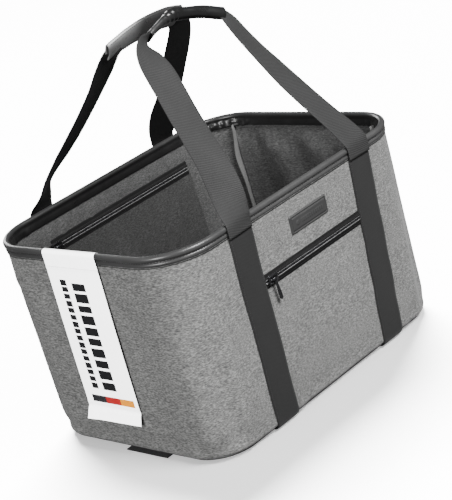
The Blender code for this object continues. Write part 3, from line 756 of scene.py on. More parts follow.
def sewn_line(side_y, side):
    """Centre line of a sewn strap, from under the lower edge up to the rim."""
    foot_y, centre_z = HALF_Y_FOOT - FILLET, SEAM_Z + FILLET
    low_z, top_z = STRAP_LOW.z + WEBBING / 2, STRAP_HIGH.z + 0.0004
    reach_y, reach_z = FILLET + OFF_WALL, centre_z - low_z
    line = [(foot_y - 0.004, low_z)]
    for turn in np.linspace(0, math.pi / 2, 9):
        line.append((foot_y + reach_y * math.sin(turn), centre_z - reach_z * math.cos(turn)))
    line += [(wall_y(z, 1) + OFF_WALL, z) for z in np.linspace(centre_z + 0.005, top_z, 46)]
    return np.array([(strap_x(side, z), side_y * y, z) for y, z in line])


def sewn_straps():
    seam_x = STRAP_WIDTH / 2 - 0.0028
    for long_side, side_y in (("front", -1), ("rear", 1)):
        for side in STRAP_FEET:
            centres = sewn_line(side_y, side)
            z = centres[:, 2]
            loose = 0.0004 * np.abs(wander(centres, (30, 30, 24), 5.0))
            centres[:, 1] += side_y * loose * ease(z, 0.02, 0.06)
            places = np.stack([z * 22, np.full(len(z), centres[0, 0] * 40), np.full(len(z), side_y)], axis=1)
            centres[:, 0] += 0.0018 * wander(places, 1) * ease(z, 0.02, 0.05) * (1 - ease(z, 0.24, 0.27))
            across = (-side_y, 0, 0)
            made = ribbon(f"{long_side}_webbing_{side}", centres, across, STRAP_WIDTH, SEWN_WEBBING)
            rows = []
            for edge in (-1, 1):
                line = centres[10:] + (edge * seam_x, side_y * WEBBING / 2, 0)
                rows.append(stitches("seam", line, (0, side_y, 0), THREAD))
            seams = join(f"{long_side}_strap_stitching_{side}", rows)
            dress(made, "webbing", "base", f"{long_side}_strap_{side}", keep=SQUASH_KEEP)
            dress(seams, "webbing", "base", keep=SQUASH_KEEP)


# The rim.


def rim_profile():
    """(out, up) about the tube: a soft lower roll, a stitched groove, the bead over the tube and the
    deeper facing inside."""
    points = [(0.0020, -0.0114), (0.0027, -0.0120)]
    for turn in np.radians(np.linspace(-62, 58, 9)):
        points.append((-0.0002 + 0.0036 * math.cos(turn), -0.0076 + 0.0037 * math.sin(turn)))
    points.append((0.0024, -0.0039))
    for turn in np.radians(np.linspace(-38, 208, 19)):
        points.append((TUBE_RADIUS * math.cos(turn), TUBE_RADIUS * math.sin(turn)))
    points += [(-0.0030, -0.0042), (-0.0035, -0.0062), (-0.0038, -0.0090), (-0.0037, -0.0120)]
    points += [(-0.0038, -0.0146), (-0.0031, -0.0153), (-0.0024, -0.0146), (-0.0023, -0.0110)]
    return [*points, (-0.0023, -0.0060)]


def rim_cover():
    places = stations(on_side(0, 0.0), on_side(0, 0.0), 0.0035, 2.0)[:-1]
    sizes = COVER_HIGH.x - TUBE_RADIUS, COVER_HIGH.y - TUBE_RADIUS, RIM_CORNER
    found = [outline_point(station, *sizes) for station in places]
    points = np.array([(*point, RIM_TOP - TUBE_RADIUS) for point, out in found])
    outs = np.array([(*out, 0.0) for point, out in found])
    away, rise = np.array(rim_profile()).T
    at = points[:, None] + outs[:, None] * away[:, None] + UP * rise[:, None]
    # The facing wrinkles, most of all on the corners and round the rear right one.
    corner = np.array([station[0] == "corner" for station in places])
    rear_right = bump_at(np.hypot(points[:, 0] - 0.205, points[:, 1] - 0.155), 0, 0.075)
    depth = (0.0003 + 0.0012 * corner + 0.0022 * rear_right)[:, None]
    depth = depth * (0.5 + wander(at, 95) + 0.5 * wander(at, 210))
    depth *= ease(-away, 0.001, 0.003) * ease(-rise, 0.002, 0.006)
    at -= outs[:, None] * depth[..., None]
    # The roll outside sways.
    sway = wander(at * (26, 26, 0) + 4 * UP, 1)
    sway *= ease(away, 0.001, 0.003) * ease(-rise, 0.004, 0.008)
    at += (outs * 0.0002 + UP * 0.0006)[:, None] * sway[..., None]
    made = lattice("rim_leather_cover", at, COVER, ring=True, loop=True)
    line = points + outs * 0.0030 - UP * 0.0040
    line, outs = np.vstack([line, line[:1]]), np.vstack([outs, outs[:1]])
    seam = stitches("rim_stitching", line, outs, DARK_THREAD, 0.0042, 0.0030)
    dress(made, "cover_leather", "rim", "rim_cover")
    dress(seam, "cover_leather", "rim")


# The linings.

# Place, lean and depth of soft folds that fall from the inner zip.
ZIP_FOLDS = ((-0.095, 0.25, 0.0014), (-0.060, 0.20, -0.0010), (0.02, -0.1, 0.0012), (0.09, -0.2, 0.0014))
# Start, slope, depth and half width of pleats that fall from the rear corner towards the floor.
PLEATS = (
    (0.103, 7.0, -0.0046, 0.009), (0.078, 3.0, 0.0060, 0.017), (0.036, 2.4, -0.0040, 0.015),
    (0.002, 2.0, 0.0050, 0.022), (-0.055, 1.6, 0.0036, 0.018),
)


def rear_lining_waves(x, z, waves):
    """Gathers over the zip, folds under it, and a fold that falls from the right corner."""
    gathers = np.sin((x + 0.004 * np.sin(z * 160)) * 230) * bump_at(x, -0.10, 0.10)
    slanting = np.sin((x - 0.3 * (z - INNER_ZIP_Z)) * 110 + 1.0)
    gathers += 0.6 * slanting * (1 - ease(np.abs(x), 0.12, 0.17))
    waves = waves + 0.0013 * gathers * ease(z, INNER_ZIP_Z + 0.004, INNER_ZIP_Z + 0.012)
    waves *= 1 - bump_at(z, INNER_ZIP_Z, 0.012)
    for place_x, lean, depth in ZIP_FOLDS:
        across = x - place_x - lean * (INNER_ZIP_Z - z)
        waves += depth * bump_at(across, 0, 0.012) * (1 - ease(z, 0.20, 0.236))
    drop = LINING_TOP - z
    corner_fold = bump_at(x - 0.185 + drop * 0.30, 0, 0.012)
    waves += 0.0045 * corner_fold * ease(drop, 0.0, 0.03) * (1 - ease(drop, 0.12, 0.22))
    waves += 0.0010 * np.sin(x * 430) * bump_at(x, 0.19, 0.035) * ease(z, 0.235, 0.268)
    behind = 1 - ease(z, INNER_ZIP_Z - 0.004, INNER_ZIP_Z + 0.004)
    behind *= 1 - ease(np.abs(x), 0.150, 0.175)
    return waves * (1 - behind) + 0.0008 * behind


def right_lining_waves(y, z, waves):
    """Pleats that fall from the rear corner, and tucks under the rim."""
    drop = LINING_TOP - z
    for start, slope, depth, width in PLEATS:
        across = (y - start + drop / slope) / math.hypot(1, 1 / slope)
        fade = ease(drop, 0.0, 0.035) * (1 - ease(drop, 0.17, 0.25))
        waves = waves + depth * bump_at(across, 0, width) * fade
    waves += 0.0036 * ease(drop, 0.0, 0.04) * (1 - ease(drop, 0.17, 0.25))
    tucks = np.sin(y * 420) * bump_at(y, 0.09, 0.06)
    return waves + 0.0011 * tucks * (1 - ease(z, 0.27, 0.275)) * ease(z, 0.225, 0.268)


def lining_waves(points, name):
    """How far a lining panel stands into the bag."""
    x, y, z = np.moveaxis(points, -1, 0)
    waves = 0.0012 + 0.0011 * wander(points, (18, 18, 5), 11.0) + 0.0005 * wander(points, (60, 60, 9), 2.0)
    if name == "rear":
        waves = rear_lining_waves(x, z, waves)
    if name == "right":
        waves = right_lining_waves(y, z, waves)
    return np.clip(waves, 0.0, 0.0095) * (1 - ease(z, 0.262, 0.272)) * ease(z, 0.012, 0.03)


def linings():
    heights = np.linspace(0.0117, WALL_TOP, 64)
    gap = 0.5
    near, far = SEAM_TURN + gap, 90 - SEAM_TURN - gap
    panels = (
        ("front", ("corner", 2, near), ("corner", 3, far)),
        ("right", ("corner", 3, far + 2 * gap), ("corner", 0, near - 2 * gap)),
        ("rear", ("corner", 0, near), ("corner", 1, far)),
        ("left", ("corner", 1, far + 2 * gap), ("corner", 2, near - 2 * gap)),
    )
    for name, first, last in panels:
        places = stations(first, last, 0.004)
        points, outs = wall_grid(places, heights, LINING_INSET + 0.0005, follow_foot=False)
        points -= outs * lining_waves(points, name)[..., None]
        made = lattice(f"{name}_lining_cloth", points[:, ::-1], LINING)
        dress(made, "lining_fabric", "base", f"{name}_lining", keep=SQUASH_KEEP)


def corner_bindings():
    """Bound seams that stand into the bag at its corners and bow on their way down."""
    foot_z, top_z = 0.0118, 0.2790
    zs = np.linspace(foot_z, top_z, 48)
    down = (top_z - zs) / 0.267
    bow = 0.0085 * ease(down, 0.0, 0.20) * (1 - 0.4 * ease(down, 0.2, 0.36)) * (1 - ease(down, 0.6, 1.0))
    depths = 0.0066 + 0.0022 * (1 - ease(down, 0.0, 0.12)) + 0.0010 * np.sin(down * 7.0)
    for index, corner in enumerate(("rear_right", "rear_left", "front_left", "front_right")):
        turn_to = 90 - SEAM_TURN if index % 2 else SEAM_TURN
        rows = []
        for z, depth, bowed in zip(zs, depths, bow * (0.5 if index else 1.0)):
            root, out = outline_point(("corner", index, turn_to), *halves(z, LINING_INSET + 0.0012))
            side = np.array((-out[1], out[0]))
            section = []
            for turn in circle(12):
                # A flat tongue with a fatter rolled edge.
                deep = math.cos(turn)
                fat = (0.0009 + 0.0009 * ease(deep, 0.1, 0.9)) * math.sin(turn)
                inward = depth / 2 + (depth / 2 + 0.0006) * deep
                point = root - out * inward + side * (fat + bowed * (0.5 + 0.5 * deep))
                section.append((*point, z))
            rows.append(section)
        made = lattice(f"{corner}_binding_tape", rows, BINDING, ring=True, caps=True)
        dress(made, "webbing", "base", f"corner_binding_{corner}", keep=SQUASH_KEEP)


# Place, lean, depth and half width of soft folds in the inner pocket.
POCKET_FOLDS = (
    (-0.112, 0.10, 0.0045, 0.008), (-0.094, 0.18, -0.0021, 0.007), (-0.076, 0.22, 0.0048, 0.010),
    (-0.050, 0.10, -0.0018, 0.009), (-0.022, -0.05, 0.0033, 0.014), (0.035, -0.15, 0.0027, 0.013),
    (0.080, -0.25, 0.0039, 0.012), (0.118, -0.35, 0.0033, 0.009),
)


def wall_cloth(name, node, side_y, columns, rows, material, inset):
    """A cloth that hangs on a long wall in the place of a CAD node, inset(x, z, low, high) inside it."""
    low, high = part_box(node)
    z, x = np.meshgrid(np.linspace(low.z, high.z, rows), np.linspace(low.x, high.x, columns), indexing="ij")
    points = np.stack([x, wall_y(z, side_y, inset(x, z, low, high)), z], axis=-1)
    made = lattice(name, points, material)
    dress(made, "lining_fabric", "base", node, keep=SQUASH_KEEP)


def pocket_cloths():
    """The pocket bag behind the front zip and the panel under the inner zip."""

    def folded(x, z, low, high):
        hang = ease(high.z - z, 0.004, 0.07) * ease(z - low.z, 0.0, 0.02)
        hang *= ease(x - low.x, 0.0, 0.03) * ease(high.x - x, 0.0, 0.03)
        wave = 0.0020 + 0.0016 * wander(np.stack([x, np.full(x.shape, 3.0), z], axis=-1), (16, 1, 9))
        drop = INNER_ZIP_Z - z
        for place_x, lean, depth, width in POCKET_FOLDS:
            fold = bump_at(x - place_x - lean * drop, 0, width)
            wave += depth * fold * (1 - 0.6 * ease(drop, 0.05, 0.16))
        return 0.0062 + np.maximum(wave, 0.0) * hang

    wall_cloth(
        "front_pocket_cloth", "front_pocket_bag", -1, 40, 36, LINING,
        lambda x, z, low, high: 0.0024,
    )
    wall_cloth("inner_pocket_cloth", "inner_pocket_panel", 1, 70, 50, POCKET, folded)


# Handles. Each leg runs up over the rim and along the plane of its handle.


class HandlePlane:
    """Turns (x, reach, height off the plane) into the bag's frame."""

    BEND = 0.007

    def __init__(self, side_y, lean):
        self.side_y, self.lean = side_y, lean
        self.pivot = np.array((0.0, side_y * PIVOT_Y, PIVOT_Z))
        self.up, self.out = self.axes(lean)

    def axes(self, angle):
        """The directions along and off a plane that leans by this angle."""
        s, c = math.sin(angle), math.cos(angle)
        return np.array((0, -self.side_y * s, c)), np.array((0, self.side_y * c, s))

    def bent_axes(self, reach):
        """The same where the webbing bends from upright to the handle's lean."""
        share = 0.5 + 0.5 * math.sin(math.pi / 2 * np.clip(reach / self.BEND, -1, 1))
        return self.axes(self.lean * share)

    def at(self, x, reach, height=0.0):
        return self.pivot + np.array((x, 0, 0)) + self.up * reach + self.out * height

    def bent(self, x, reach, height):
        """As at(), but reaches below the rim hang straight down its outside, with a rounded bend."""
        if reach >= self.BEND:
            return self.at(x, reach, height)
        steps = np.linspace(self.BEND, reach, 24)
        point = self.at(x, self.BEND)
        for a, b in zip(steps, steps[1:]):
            point = point + self.bent_axes((a + b) / 2)[0] * (b - a)
        return point + self.bent_axes(reach)[1] * height


PLANES = {"front": HandlePlane(-1, FRONT_LEAN), "rear": HandlePlane(1, REAR_LEAN)}
MM = 0.001
LEG_STEP = 0.003
LEG_FOOT = -19.2
# Rows are x, reach, height, twist, width and cup: the twist in degrees, the rest in millimetres.
LEGS = {
    "front_left": (
        (-119, LEG_FOOT, 0, 0, 43, 0), (-119, -6, 0, 0, 43, 0), (-117, 10, 0, 10, 43, 0.2),
        (-109, 38, 1, 30, 43, 1), (-102.5, 75, 2, 17, 43, 1.2), (-100, 108, 2, 10, 43, 1.2),
        (-97, 145, 2, 9, 43, 1.4), (-93.2, 176, 2, 9, 43, 1.6), (-90, 202, 1, 8, 43, 1.6),
        (-88.8, 222, 0, -2, 43, 1.4), (-86.2, 236, 0, -11, 38, 1.2), (-80.5, 246.5, 0, -26, 29, 1),
        (-71.5, 251.5, 0, -48, 20, 0.4), (-61, 254.5, 0, -70, 16, 0),
    ),
    "front_right": (
        (126.5, LEG_FOOT, 0, 0, 43, 0), (126.5, -6, 0, 0, 43, 0), (124, 10, 0, 0, 43, 0.2),
        (113, 45, -1, -6, 43, 1), (100.5, 82, -2, -8, 43, 1.2), (88.5, 118, -2, -10, 43, 1.2),
        (80.5, 146, -2, -14, 43, 1.2), (73.5, 172, -2, -18, 42, 1), (66.5, 200, -1, -22, 43, 0.8),
        (62.5, 219, 0, -22, 40, 0.6), (58, 232.5, 0, -16, 26, 0.3), (50, 240.5, 0, 0, 13, 0),
    ),
    "rear_left": (
        (-124, LEG_FOOT, 0, 0, 43, 0), (-124, -6, 0, 0, 43, 0), (-124.8, 14, 0, 10, 43, 0),
        (-124, 38, 0, 24.5, 43, 0.6), (-118, 64, 0.5, 19, 43, 0.8), (-103.5, 94, 1, 11, 43, 0.8),
        (-94.5, 118, 0, 9.5, 43, 0.8), (-80, 156, 0, 9, 43, 1), (-68, 196, 0, 7, 43, 1),
        (-63.2, 220, 0, 2, 41, 1), (-60.8, 238, 0, -12, 30, 0.8), (-56, 254, 0, -38, 20, 0.2),
        (-46, 264.5, 0, -54, 15, 0),
    ),
    "rear_right": (
        (127.5, LEG_FOOT, 0, 0, 43, 0), (127.5, -6, 0, -2, 43, 0), (123.5, 10, 0, -8, 43, 0),
        (114, 34, 0, -16, 43, 1), (106.5, 65, 0, -15, 43, 1.2), (106, 105, 0, -10, 43, 1),
        (99, 150, 0, -12, 43, 1.2), (93.5, 190, 0, -11, 43, 1.2), (88, 220, 0, -7, 42, 1),
        (80.5, 242, 0, -6, 36, 0.6), (70, 256, 0, -8, 28, 0), (56, 265, 0, -12, 22, 0),
    ),
}


def handle_legs():
    for name, course in LEGS.items():
        long_side, side = name.split("_")
        plane = PLANES[long_side]
        smooth = curve_through(np.array(course) * (MM, MM, MM, 1, MM, MM), 8)
        rows = respaced(smooth, int(line_length(smooth) / LEG_STEP) + 1)
        centres = [plane.bent(*row[:3]) for row in rows]
        twist = np.radians(rows[:, 3:4])
        acrosses = np.cos(twist) * (1, 0, 0) + np.sin(twist) * plane.out
        acrosses *= -plane.side_y
        made = ribbon(
            f"{long_side}_handle_webbing_{side}", centres, acrosses, rows[:, 4], WEBBING_CLOTH, rows[:, 5]
        )
        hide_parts(f"{long_side}_handle_leg_{side}", f"{long_side}_rim_tab_{side}")
        start, end = plane.at(0, -0.003), plane.at(0, 0.016)
        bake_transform(made)


def rounder(value, power):
    """A sine or cosine, bent so that a circle becomes a rounded square."""
    return math.copysign(abs(value) ** power, value)


def grip_shell(name, plane, course, material, wrinkle, sides=30):
    """A sewn sleeve. Course rows are (x, reach, height, half width in the plane, half thickness,
    squareness, turn in degrees)."""
    rows = curve_through(course, 14)
    along = unit(np.gradient(rows[:, :2], axis=0))
    points = []
    for share, row, (along_x, along_y) in zip(np.linspace(0, 1, len(rows)), rows, along):
        x, reach, height, half_wide, half_deep, squareness, spin = row
        spin_x, spin_y = math.cos(math.radians(spin)), math.sin(math.radians(spin))
        ring = []
        for turn in circle(sides):
            c, s = math.cos(turn), math.sin(turn)
            wide, deep = rounder(c, 2 / squareness) * half_wide, rounder(s, 2 / squareness) * half_deep
            wide, deep = wide * spin_x - deep * spin_y, wide * spin_y + deep * spin_x
            swell = 1 + wrinkle * noise.noise(Vector((share * 9, c * 1.4, s * 1.4 + 5)))
            swell += wrinkle * 0.8 * bump_at(share, 0.42, 0.12) * math.sin(share * 95 + 2.2 * c)
            wide, deep = wide * swell, deep * swell
            ring.append(plane.at(x - along_y * wide, reach + along_x * wide, height + deep))
        points.append(ring)
    points = np.array(points)
    # The ends turn in, round the webbing: the share of the section that is left, and how deep.
    lips = ((0.93, -0.0002), (0.80, 0.001), (0.45, 0.006))
    ends = []
    for end, inner in ((points[0], points[2]), (points[-1], points[-3])):
        middle = end.mean(axis=0)
        inward = unit(inner.mean(axis=0) - middle)
        ends.append([middle + (end - middle) * share + inward * depth for share, depth in lips])
    return lattice(name, [*ends[0][::-1], *points, *ends[1]], material, ring=True), points


SLEEVE_WALL = 0.0014
# x, reach and height, half width and half thickness in millimetres, then squareness and turn.
GRIP_COURSES = {
    "front": (
        (-70.5, 251.5, 0, 4.6, 10, 2.6, -12), (-58, 255.5, 0, 4.2, 10.5, 2.6, -10),
        (-37, 260.5, 0, 5.5, 10, 2.4, -4), (-16, 262.8, 1, 8.4, 8.5, 2.2, 0),
        (6, 257.2, 0, 8, 8, 2.1, 0), (33, 247.8, 0, 8.4, 7.8, 2.2, 0), (58.5, 234.5, 0, 8.6, 7.4, 2.3, 0),
    ),
    "rear": (
        (-66, 261.2, 0, 17.4, 4, 3, -4), (-50, 266.8, 0, 17.8, 4.2, 2.8, -3),
        (-34, 271, 0, 18, 4.4, 2.7, 0), (-12, 274.8, 0, 18, 4.6, 2.6, 2), (13, 275.6, 0, 18, 4.6, 2.6, 2),
        (40, 273.2, 0, 17.8, 4.4, 2.7, 0), (66.5, 266, 0, 17.2, 4, 3, -2),
    ),
}


def grip_stitching(side, plane, rings):
    """One seam under the front grip, and one along each edge of both faces of the rear grip."""
    if side == "front":
        middle = rings[4:-4]
        seam = middle[:, 19]
        outward = unit(seam - middle.mean(axis=1))
        return stitches("front_grip_stitching", seam, outward, DARK_THREAD, 0.0036, 0.0026, 0.0007)
    rows = []
    for column, outward in ((28, -plane.out), (17, -plane.out), (2, plane.out), (13, plane.out)):
        rows.append(stitches("seam", rings[3:-3, column], outward, THREAD, 0.0036, 0.0026, 0.0007))
    return join("rear_grip_stitching", rows)


def grips():
    for side, material, wrinkle, fill in (("front", GRIP, 0.07, 0.7), ("rear", REAR_GRIP, 0.015, 0.5)):
        plane, body = PLANES[side], f"{side}_handle"
        course = np.array(GRIP_COURSES[side]) * (MM, MM, MM, MM, MM, 1, 1)
        sleeve, rings = grip_shell(f"{side}_grip_leather", plane, course, material, wrinkle)
        # The filling follows the sleeve, a leather's thickness inside it and a little shorter.
        course[:, 3:5] -= SLEEVE_WALL
        course[[0, -1], 0] *= 0.97
        filling, _ = grip_shell(f"{side}_grip_filling", plane, course, FOAM, 0.0)
        dress(sleeve, "cover_leather", body, f"{side}_grip_sleeve")
        dress(grip_stitching(side, plane, rings), "cover_leather", body)
        dress(filling, "foam", body, f"{side}_grip_core")


# Zips, label and hang tag.


def wall_matrix(side_y, z, inset=0.0):
    """A frame on a long wall: its Z climbs the wall and its -Y leads to the front."""
    turn = Matrix.Rotation(-side_y * WALL_TILT, 4, "X")
    return Matrix.Translation((0, wall_y(z, side_y, inset), z)) @ turn


# (rise, out) in millimetres: a rolled lip beside the coil, then a flat edge.
TAPE_PROFILE = (
    (2.2, 0.2), (2.2, 1.4), (2.6, 2.1), (3.4, 2.4), (4.3, 1.9), (4.9, 1.2), (6.0, 1.0), (7.5, 1.0),
    (8.3, 0.7), (8.4, 0.1),
)
COIL_EDGE = 0.0022


def zip_tape(name, ends, up, matrix, wide):
    """One woven tape that is stitched down along its flat edge."""
    rows = []
    for x in np.linspace(*ends, 90):
        wave = 0.0001 * noise.noise(Vector((x * 30, 2.0 if up > 0 else 5.0, 0)))
        rises = [COIL_EDGE + (rise * MM - COIL_EDGE) * wide + wave for rise, _ in TAPE_PROFILE]
        rows.append([(x, -out * MM, up * rise) for rise, (_, out) in zip(rises, TAPE_PROFILE)])
    return place(lattice(name, rows, TAPE), matrix)


# One coil turn: its corners in shares of the pitch, in metres off the wall and in shares of its
# reach, and its faces.
TURN_CORNERS = (
    (-0.33, 0.0004, 0.1), (0.33, 0.0004, 0.1), (0.30, 0.0016, 0.35), (-0.30, 0.0016, 0.35),
    (-0.33, 0.0004, 1.0), (0.33, 0.0004, 1.0), (0.24, 0.0013, 0.85), (-0.24, 0.0013, 0.85),
)
TURN_FACES = ((0, 1, 2, 3), (3, 2, 6, 7), (7, 6, 5, 4), (0, 3, 7, 4), (1, 5, 6, 2), (0, 4, 5, 1))


def coil(name, ends, matrix, pitch=0.0016):
    """Two rows of interlocking coil turns and the silver edges beside them."""
    data = bmesh.new()
    for i in range(int((ends[1] - ends[0]) / pitch)):
        for side in (-1, 1):
            x = ends[0] + (i + 0.5 + 0.25 * side) * pitch
            corners = [
                data.verts.new((x + along * pitch, -out, side * reach * COIL_EDGE))
                for along, out, reach in TURN_CORNERS
            ]
            for face in TURN_FACES:
                data.faces.new([corners[k] for k in face])
    bmesh.ops.recalc_face_normals(data, faces=data.faces)
    parts = [add_object("turns", data, TEETH, 40)]
    for side in (-1, 1):
        centres = [(x, -0.0016, side * 0.0021) for x in np.linspace(*ends, 60)]
        parts.append(tube("edge", centres, side * UP, (0, -1, 0), (0.0003, 0.0003), 6, SILVER, caps=True))
    return place(join(name, parts), matrix)


def slider(name, matrix, size):
    """A slider: a tapered plate, its two flanks and the bridge that holds the pull."""
    plate = rounded_box("plate", (0.0118, 0.0022, 0.0092), GUNMETAL, 0.0009)
    for vert in plate.data.vertices:
        vert.co.z *= 1.0 - 0.22 * (0.5 + vert.co.x / 0.0118)
    parts = [place(plate, Matrix.Translation((0, -0.0030, 0)))]
    for side in (-1, 1):
        rail = rounded_box("rail", (0.0100, 0.0014, 0.0014), GUNMETAL, 0.0004)
        parts.append(place(rail, Matrix.Translation((-0.0003, -0.0045, side * 0.0030))))
    outs = np.array([(-math.cos(turn), -math.sin(turn), 0) for turn in np.linspace(0, math.pi, 11)])
    centres = outs * (0.0038, 0.0034, 0) - (0, 0.0040, 0)
    parts.append(tube("bridge", centres, outs, UP, (0.0006, 0.0013), 8, GUNMETAL, caps=True))
    return place(join(name, parts), matrix @ Matrix.Diagonal((size, 1, size, 1)))


def pull_tab(name, matrix, length):
    """A long pull on a ring, with a rounded, thicker tail."""
    rows = []
    for share in np.linspace(0, 1, 22):
        z = 0.0010 - share * (length + 0.0010)
        tail = math.sqrt(1 - max((share - 0.86) / 0.14, 0) ** 2)
        head = math.sqrt(1 - max((0.06 - share) / 0.06, 0) ** 2)
        wide = (0.0020 + 0.0008 * ease(share, 0.25, 0.8)) * min(head, tail) + 0.0002
        thick = 0.0006 + 0.0004 * ease(share, 0.30, 0.55) * tail
        corners = [(rounder(math.cos(turn), 0.7), rounder(math.sin(turn), 0.7)) for turn in circle(14)]
        rows.append([(wide * c, thick * s, z) for c, s in corners])
    tab = lattice("tab", rows, GUNMETAL, ring=True, caps=True)
    outs = np.array([(math.cos(turn), 0, math.sin(turn)) for turn in circle(16)])
    centres = outs * (0.0024, 0, 0.0020) + (0, 0.0002, -0.0004)
    eye = tube("eye", centres, outs, (0, 1, 0), (0.00055, 0.00055), 8, GUNMETAL, loop=True)
    return place(join(name, [tab, eye]), matrix)


def zips():
    for side, side_y, z, inset, ends, wide, slider_x, slider_size, length, turn in (
        ("front", -1, ZIP_Z, 0.0, ZIP_ENDS, 1.25, -0.0835, 1.55, 0.031, -7),
        ("inner", 1, INNER_ZIP_Z, 0.0047, INNER_ZIP_ENDS, 1.6, -0.1270, 1.7, 0.024, 0),
    ):
        matrix = wall_matrix(side_y, z, inset)
        outward = tuple(matrix.to_3x3() @ Vector((0, -1, 0)))
        for part, up in (("upper", 1), ("lower", -1)):
            tape = zip_tape(f"{side}_tape_{part}", ends, up, matrix, wide)
            xs = np.linspace(ends[0] + 0.002, ends[1] - 0.002, 60)
            line = [matrix @ Vector((x, -0.0010, up * 0.0068)) for x in xs]
            name = f"{side}_tape_stitching_{part}"
            seam = stitches(name, line, outward, DARK_THREAD, 0.0030, 0.0021, 0.0005)
            dress(tape, "zip_tape", f"{side}_zip", f"{side}_zip_tape_{part}")
            dress(seam, "zip_tape", f"{side}_zip")
        dress(coil(f"{side}_coil", ends, matrix), "zip_teeth", f"{side}_zip", f"{side}_zip_teeth")
        matrix = matrix @ Matrix.Translation((slider_x, 0, 0))
        body = slider(f"{side}_slider_body", matrix, slider_size)
        dress(body, "gunmetal", f"{side}_slider", f"{side}_zip_slider")
        hanging = Matrix.Translation((0, -0.0062, 0)) @ Matrix.Rotation(math.radians(turn), 4, "Y")
        tab = pull_tab(f"{side}_pull_tab", matrix @ hanging, length)
        dress(tab, "gunmetal", f"{side}_pull", f"{side}_zip_pull")


def label_patch():
    """A pressed leather patch with rounded corners and a sunk line round a blank field, where a
    raised dot and a raised, notched bar stand."""
    (x0, x1), (z0, z1) = LABEL_BOX
    half_x, half_z, radius = (x1 - x0) / 2, (z1 - z0) / 2, 0.0025
    v, u = np.meshgrid(np.linspace(-1, 1, 44), np.linspace(-1, 1, 110), indexing="ij")
    x, z = u * half_x, v * half_z
    over_x, over_z = np.abs(x) - half_x + radius, np.abs(z) - half_z + radius
    corner = np.hypot(np.maximum(over_x, 0), np.maximum(over_z, 0))
    edge = np.where(corner > radius, 0.0, np.minimum(radius - over_x, radius - over_z))
    pull = radius / np.maximum(corner, radius)
    x = np.copysign(half_x - radius + over_x * pull, x)
    z = np.copysign(half_z - radius + over_z * pull, z)
    height = 0.0004 + 0.0018 * ease(edge, 0.0, 0.0022) - 0.0010 * bump_at(edge, 0.0036, 0.0011)
    dot = 1 - ease(np.hypot(x + 0.024, z), 0.0026, 0.0038)
    bar = ease(x, -0.017, -0.0155) * (1 - ease(x, 0.0275, 0.029)) * (1 - ease(np.abs(z), 0.0022, 0.0034))
    height += 0.0006 * (dot + bar * (0.6 + 0.4 * np.sin(x * 1500)))
    height += 0.00015 * wander(np.stack([x, z, np.full(x.shape, 1 / 60)], axis=-1), 60)
    points = np.stack([x + (x0 + x1) / 2, -height, z], axis=-1)
    made = place(lattice("label_leather_patch", points, PATCH), wall_matrix(-1, (z0 + z1) / 2))
    dress(made, "patch_leather", "base", "label_patch", keep=LABEL_KEEP)


CARD_OFF_RIM = 0.00055
TAG_X = -(COVER_HIGH.x + CARD_OFF_RIM)
TAG_FOOT_SHIFT, MARK_LIFT = 0.006, 0.00012
# The blocks that stand in for the two printed lines, in shares of each line's field.
WIDE_LINE = (
    (0.090, 0.135), (0.150, 0.205), (0.222, 0.262), (0.280, 0.335), (0.352, 0.402), (0.418, 0.462),
    (0.480, 0.535), (0.552, 0.600), (0.616, 0.672), (0.690, 0.740),
)
SLIM_STARTS = [0.072 + 0.0405 * i for i in range(16)]
SLIM_LINE = [(start, start + (0.030 if i % 3 else 0.034)) for i, start in enumerate(SLIM_STARTS)]
WIDE_FIELD, SLIM_FIELD = 1.08, 1.12


def tag_loop():
    """The card band over the rim: it follows the bead, then drops on both sides."""
    radius = TUBE_RADIUS + CARD_OFF_RIM
    centre_x, centre_z = -(COVER_HIGH.x - TUBE_RADIUS), RIM_TOP - TUBE_RADIUS
    line = [(centre_x - radius, z) for z in np.linspace(TAG_HIGH.z, centre_z - 0.001, 8)]
    for turn in np.radians(np.linspace(180, 0, 17)):
        line.append((centre_x + radius * math.cos(turn), centre_z + radius * math.sin(turn)))
    line += [(centre_x + radius + 0.0002, z) for z in np.linspace(centre_z - 0.004, centre_z - 0.034, 8)]
    ys = np.linspace(TAG_LOW.y, TAG_HIGH.y, 34)
    made = lattice("tag_loop_card", [[(x, y, z) for y in ys] for x, z in line], CARD)
    dress(made, "card", "rim", "hang_tag_loop")
    return made


def tag_surface(across, drop):
    """Points on the hanging card at shares of its width and drop: it swells off the wall, curls at
    the foot and leans a little."""
    across, drop = np.meshgrid(across, drop)
    z = TAG_HIGH.z + (TAG_LOW.z - TAG_HIGH.z) * drop
    y = TAG_LOW.y + (TAG_HIGH.y - TAG_LOW.y) * across + TAG_FOOT_SHIFT * drop
    swell = 0.0012 * np.sin(math.pi * np.minimum(drop * 1.1, 1.0)) * (1 - 0.5 * np.abs(2 * across - 1))
    curl = 0.1 * np.maximum(drop - 0.925, 0.0) * (0.7 + 0.3 * across)
    corner = 0.0016 * ease(across, 0.75, 1.0) * ease(drop, 0.85, 1.0)
    crease = 0.0005 * bump_at(drop, 0.0, 0.012) - 0.0009 * bump_at(drop, 0.926, 0.010)
    return np.stack([TAG_X - swell - curl - corner - crease, y, z], axis=-1)


def tag_mark(across, drop, material, field=1.0):
    """A printed block on the card, between two shares of its width and two of its drop."""
    points = tag_surface(np.linspace(*across, 6), np.linspace(*drop, 10) * field)
    return lattice("mark", points - (MARK_LIFT, 0, 0), material)


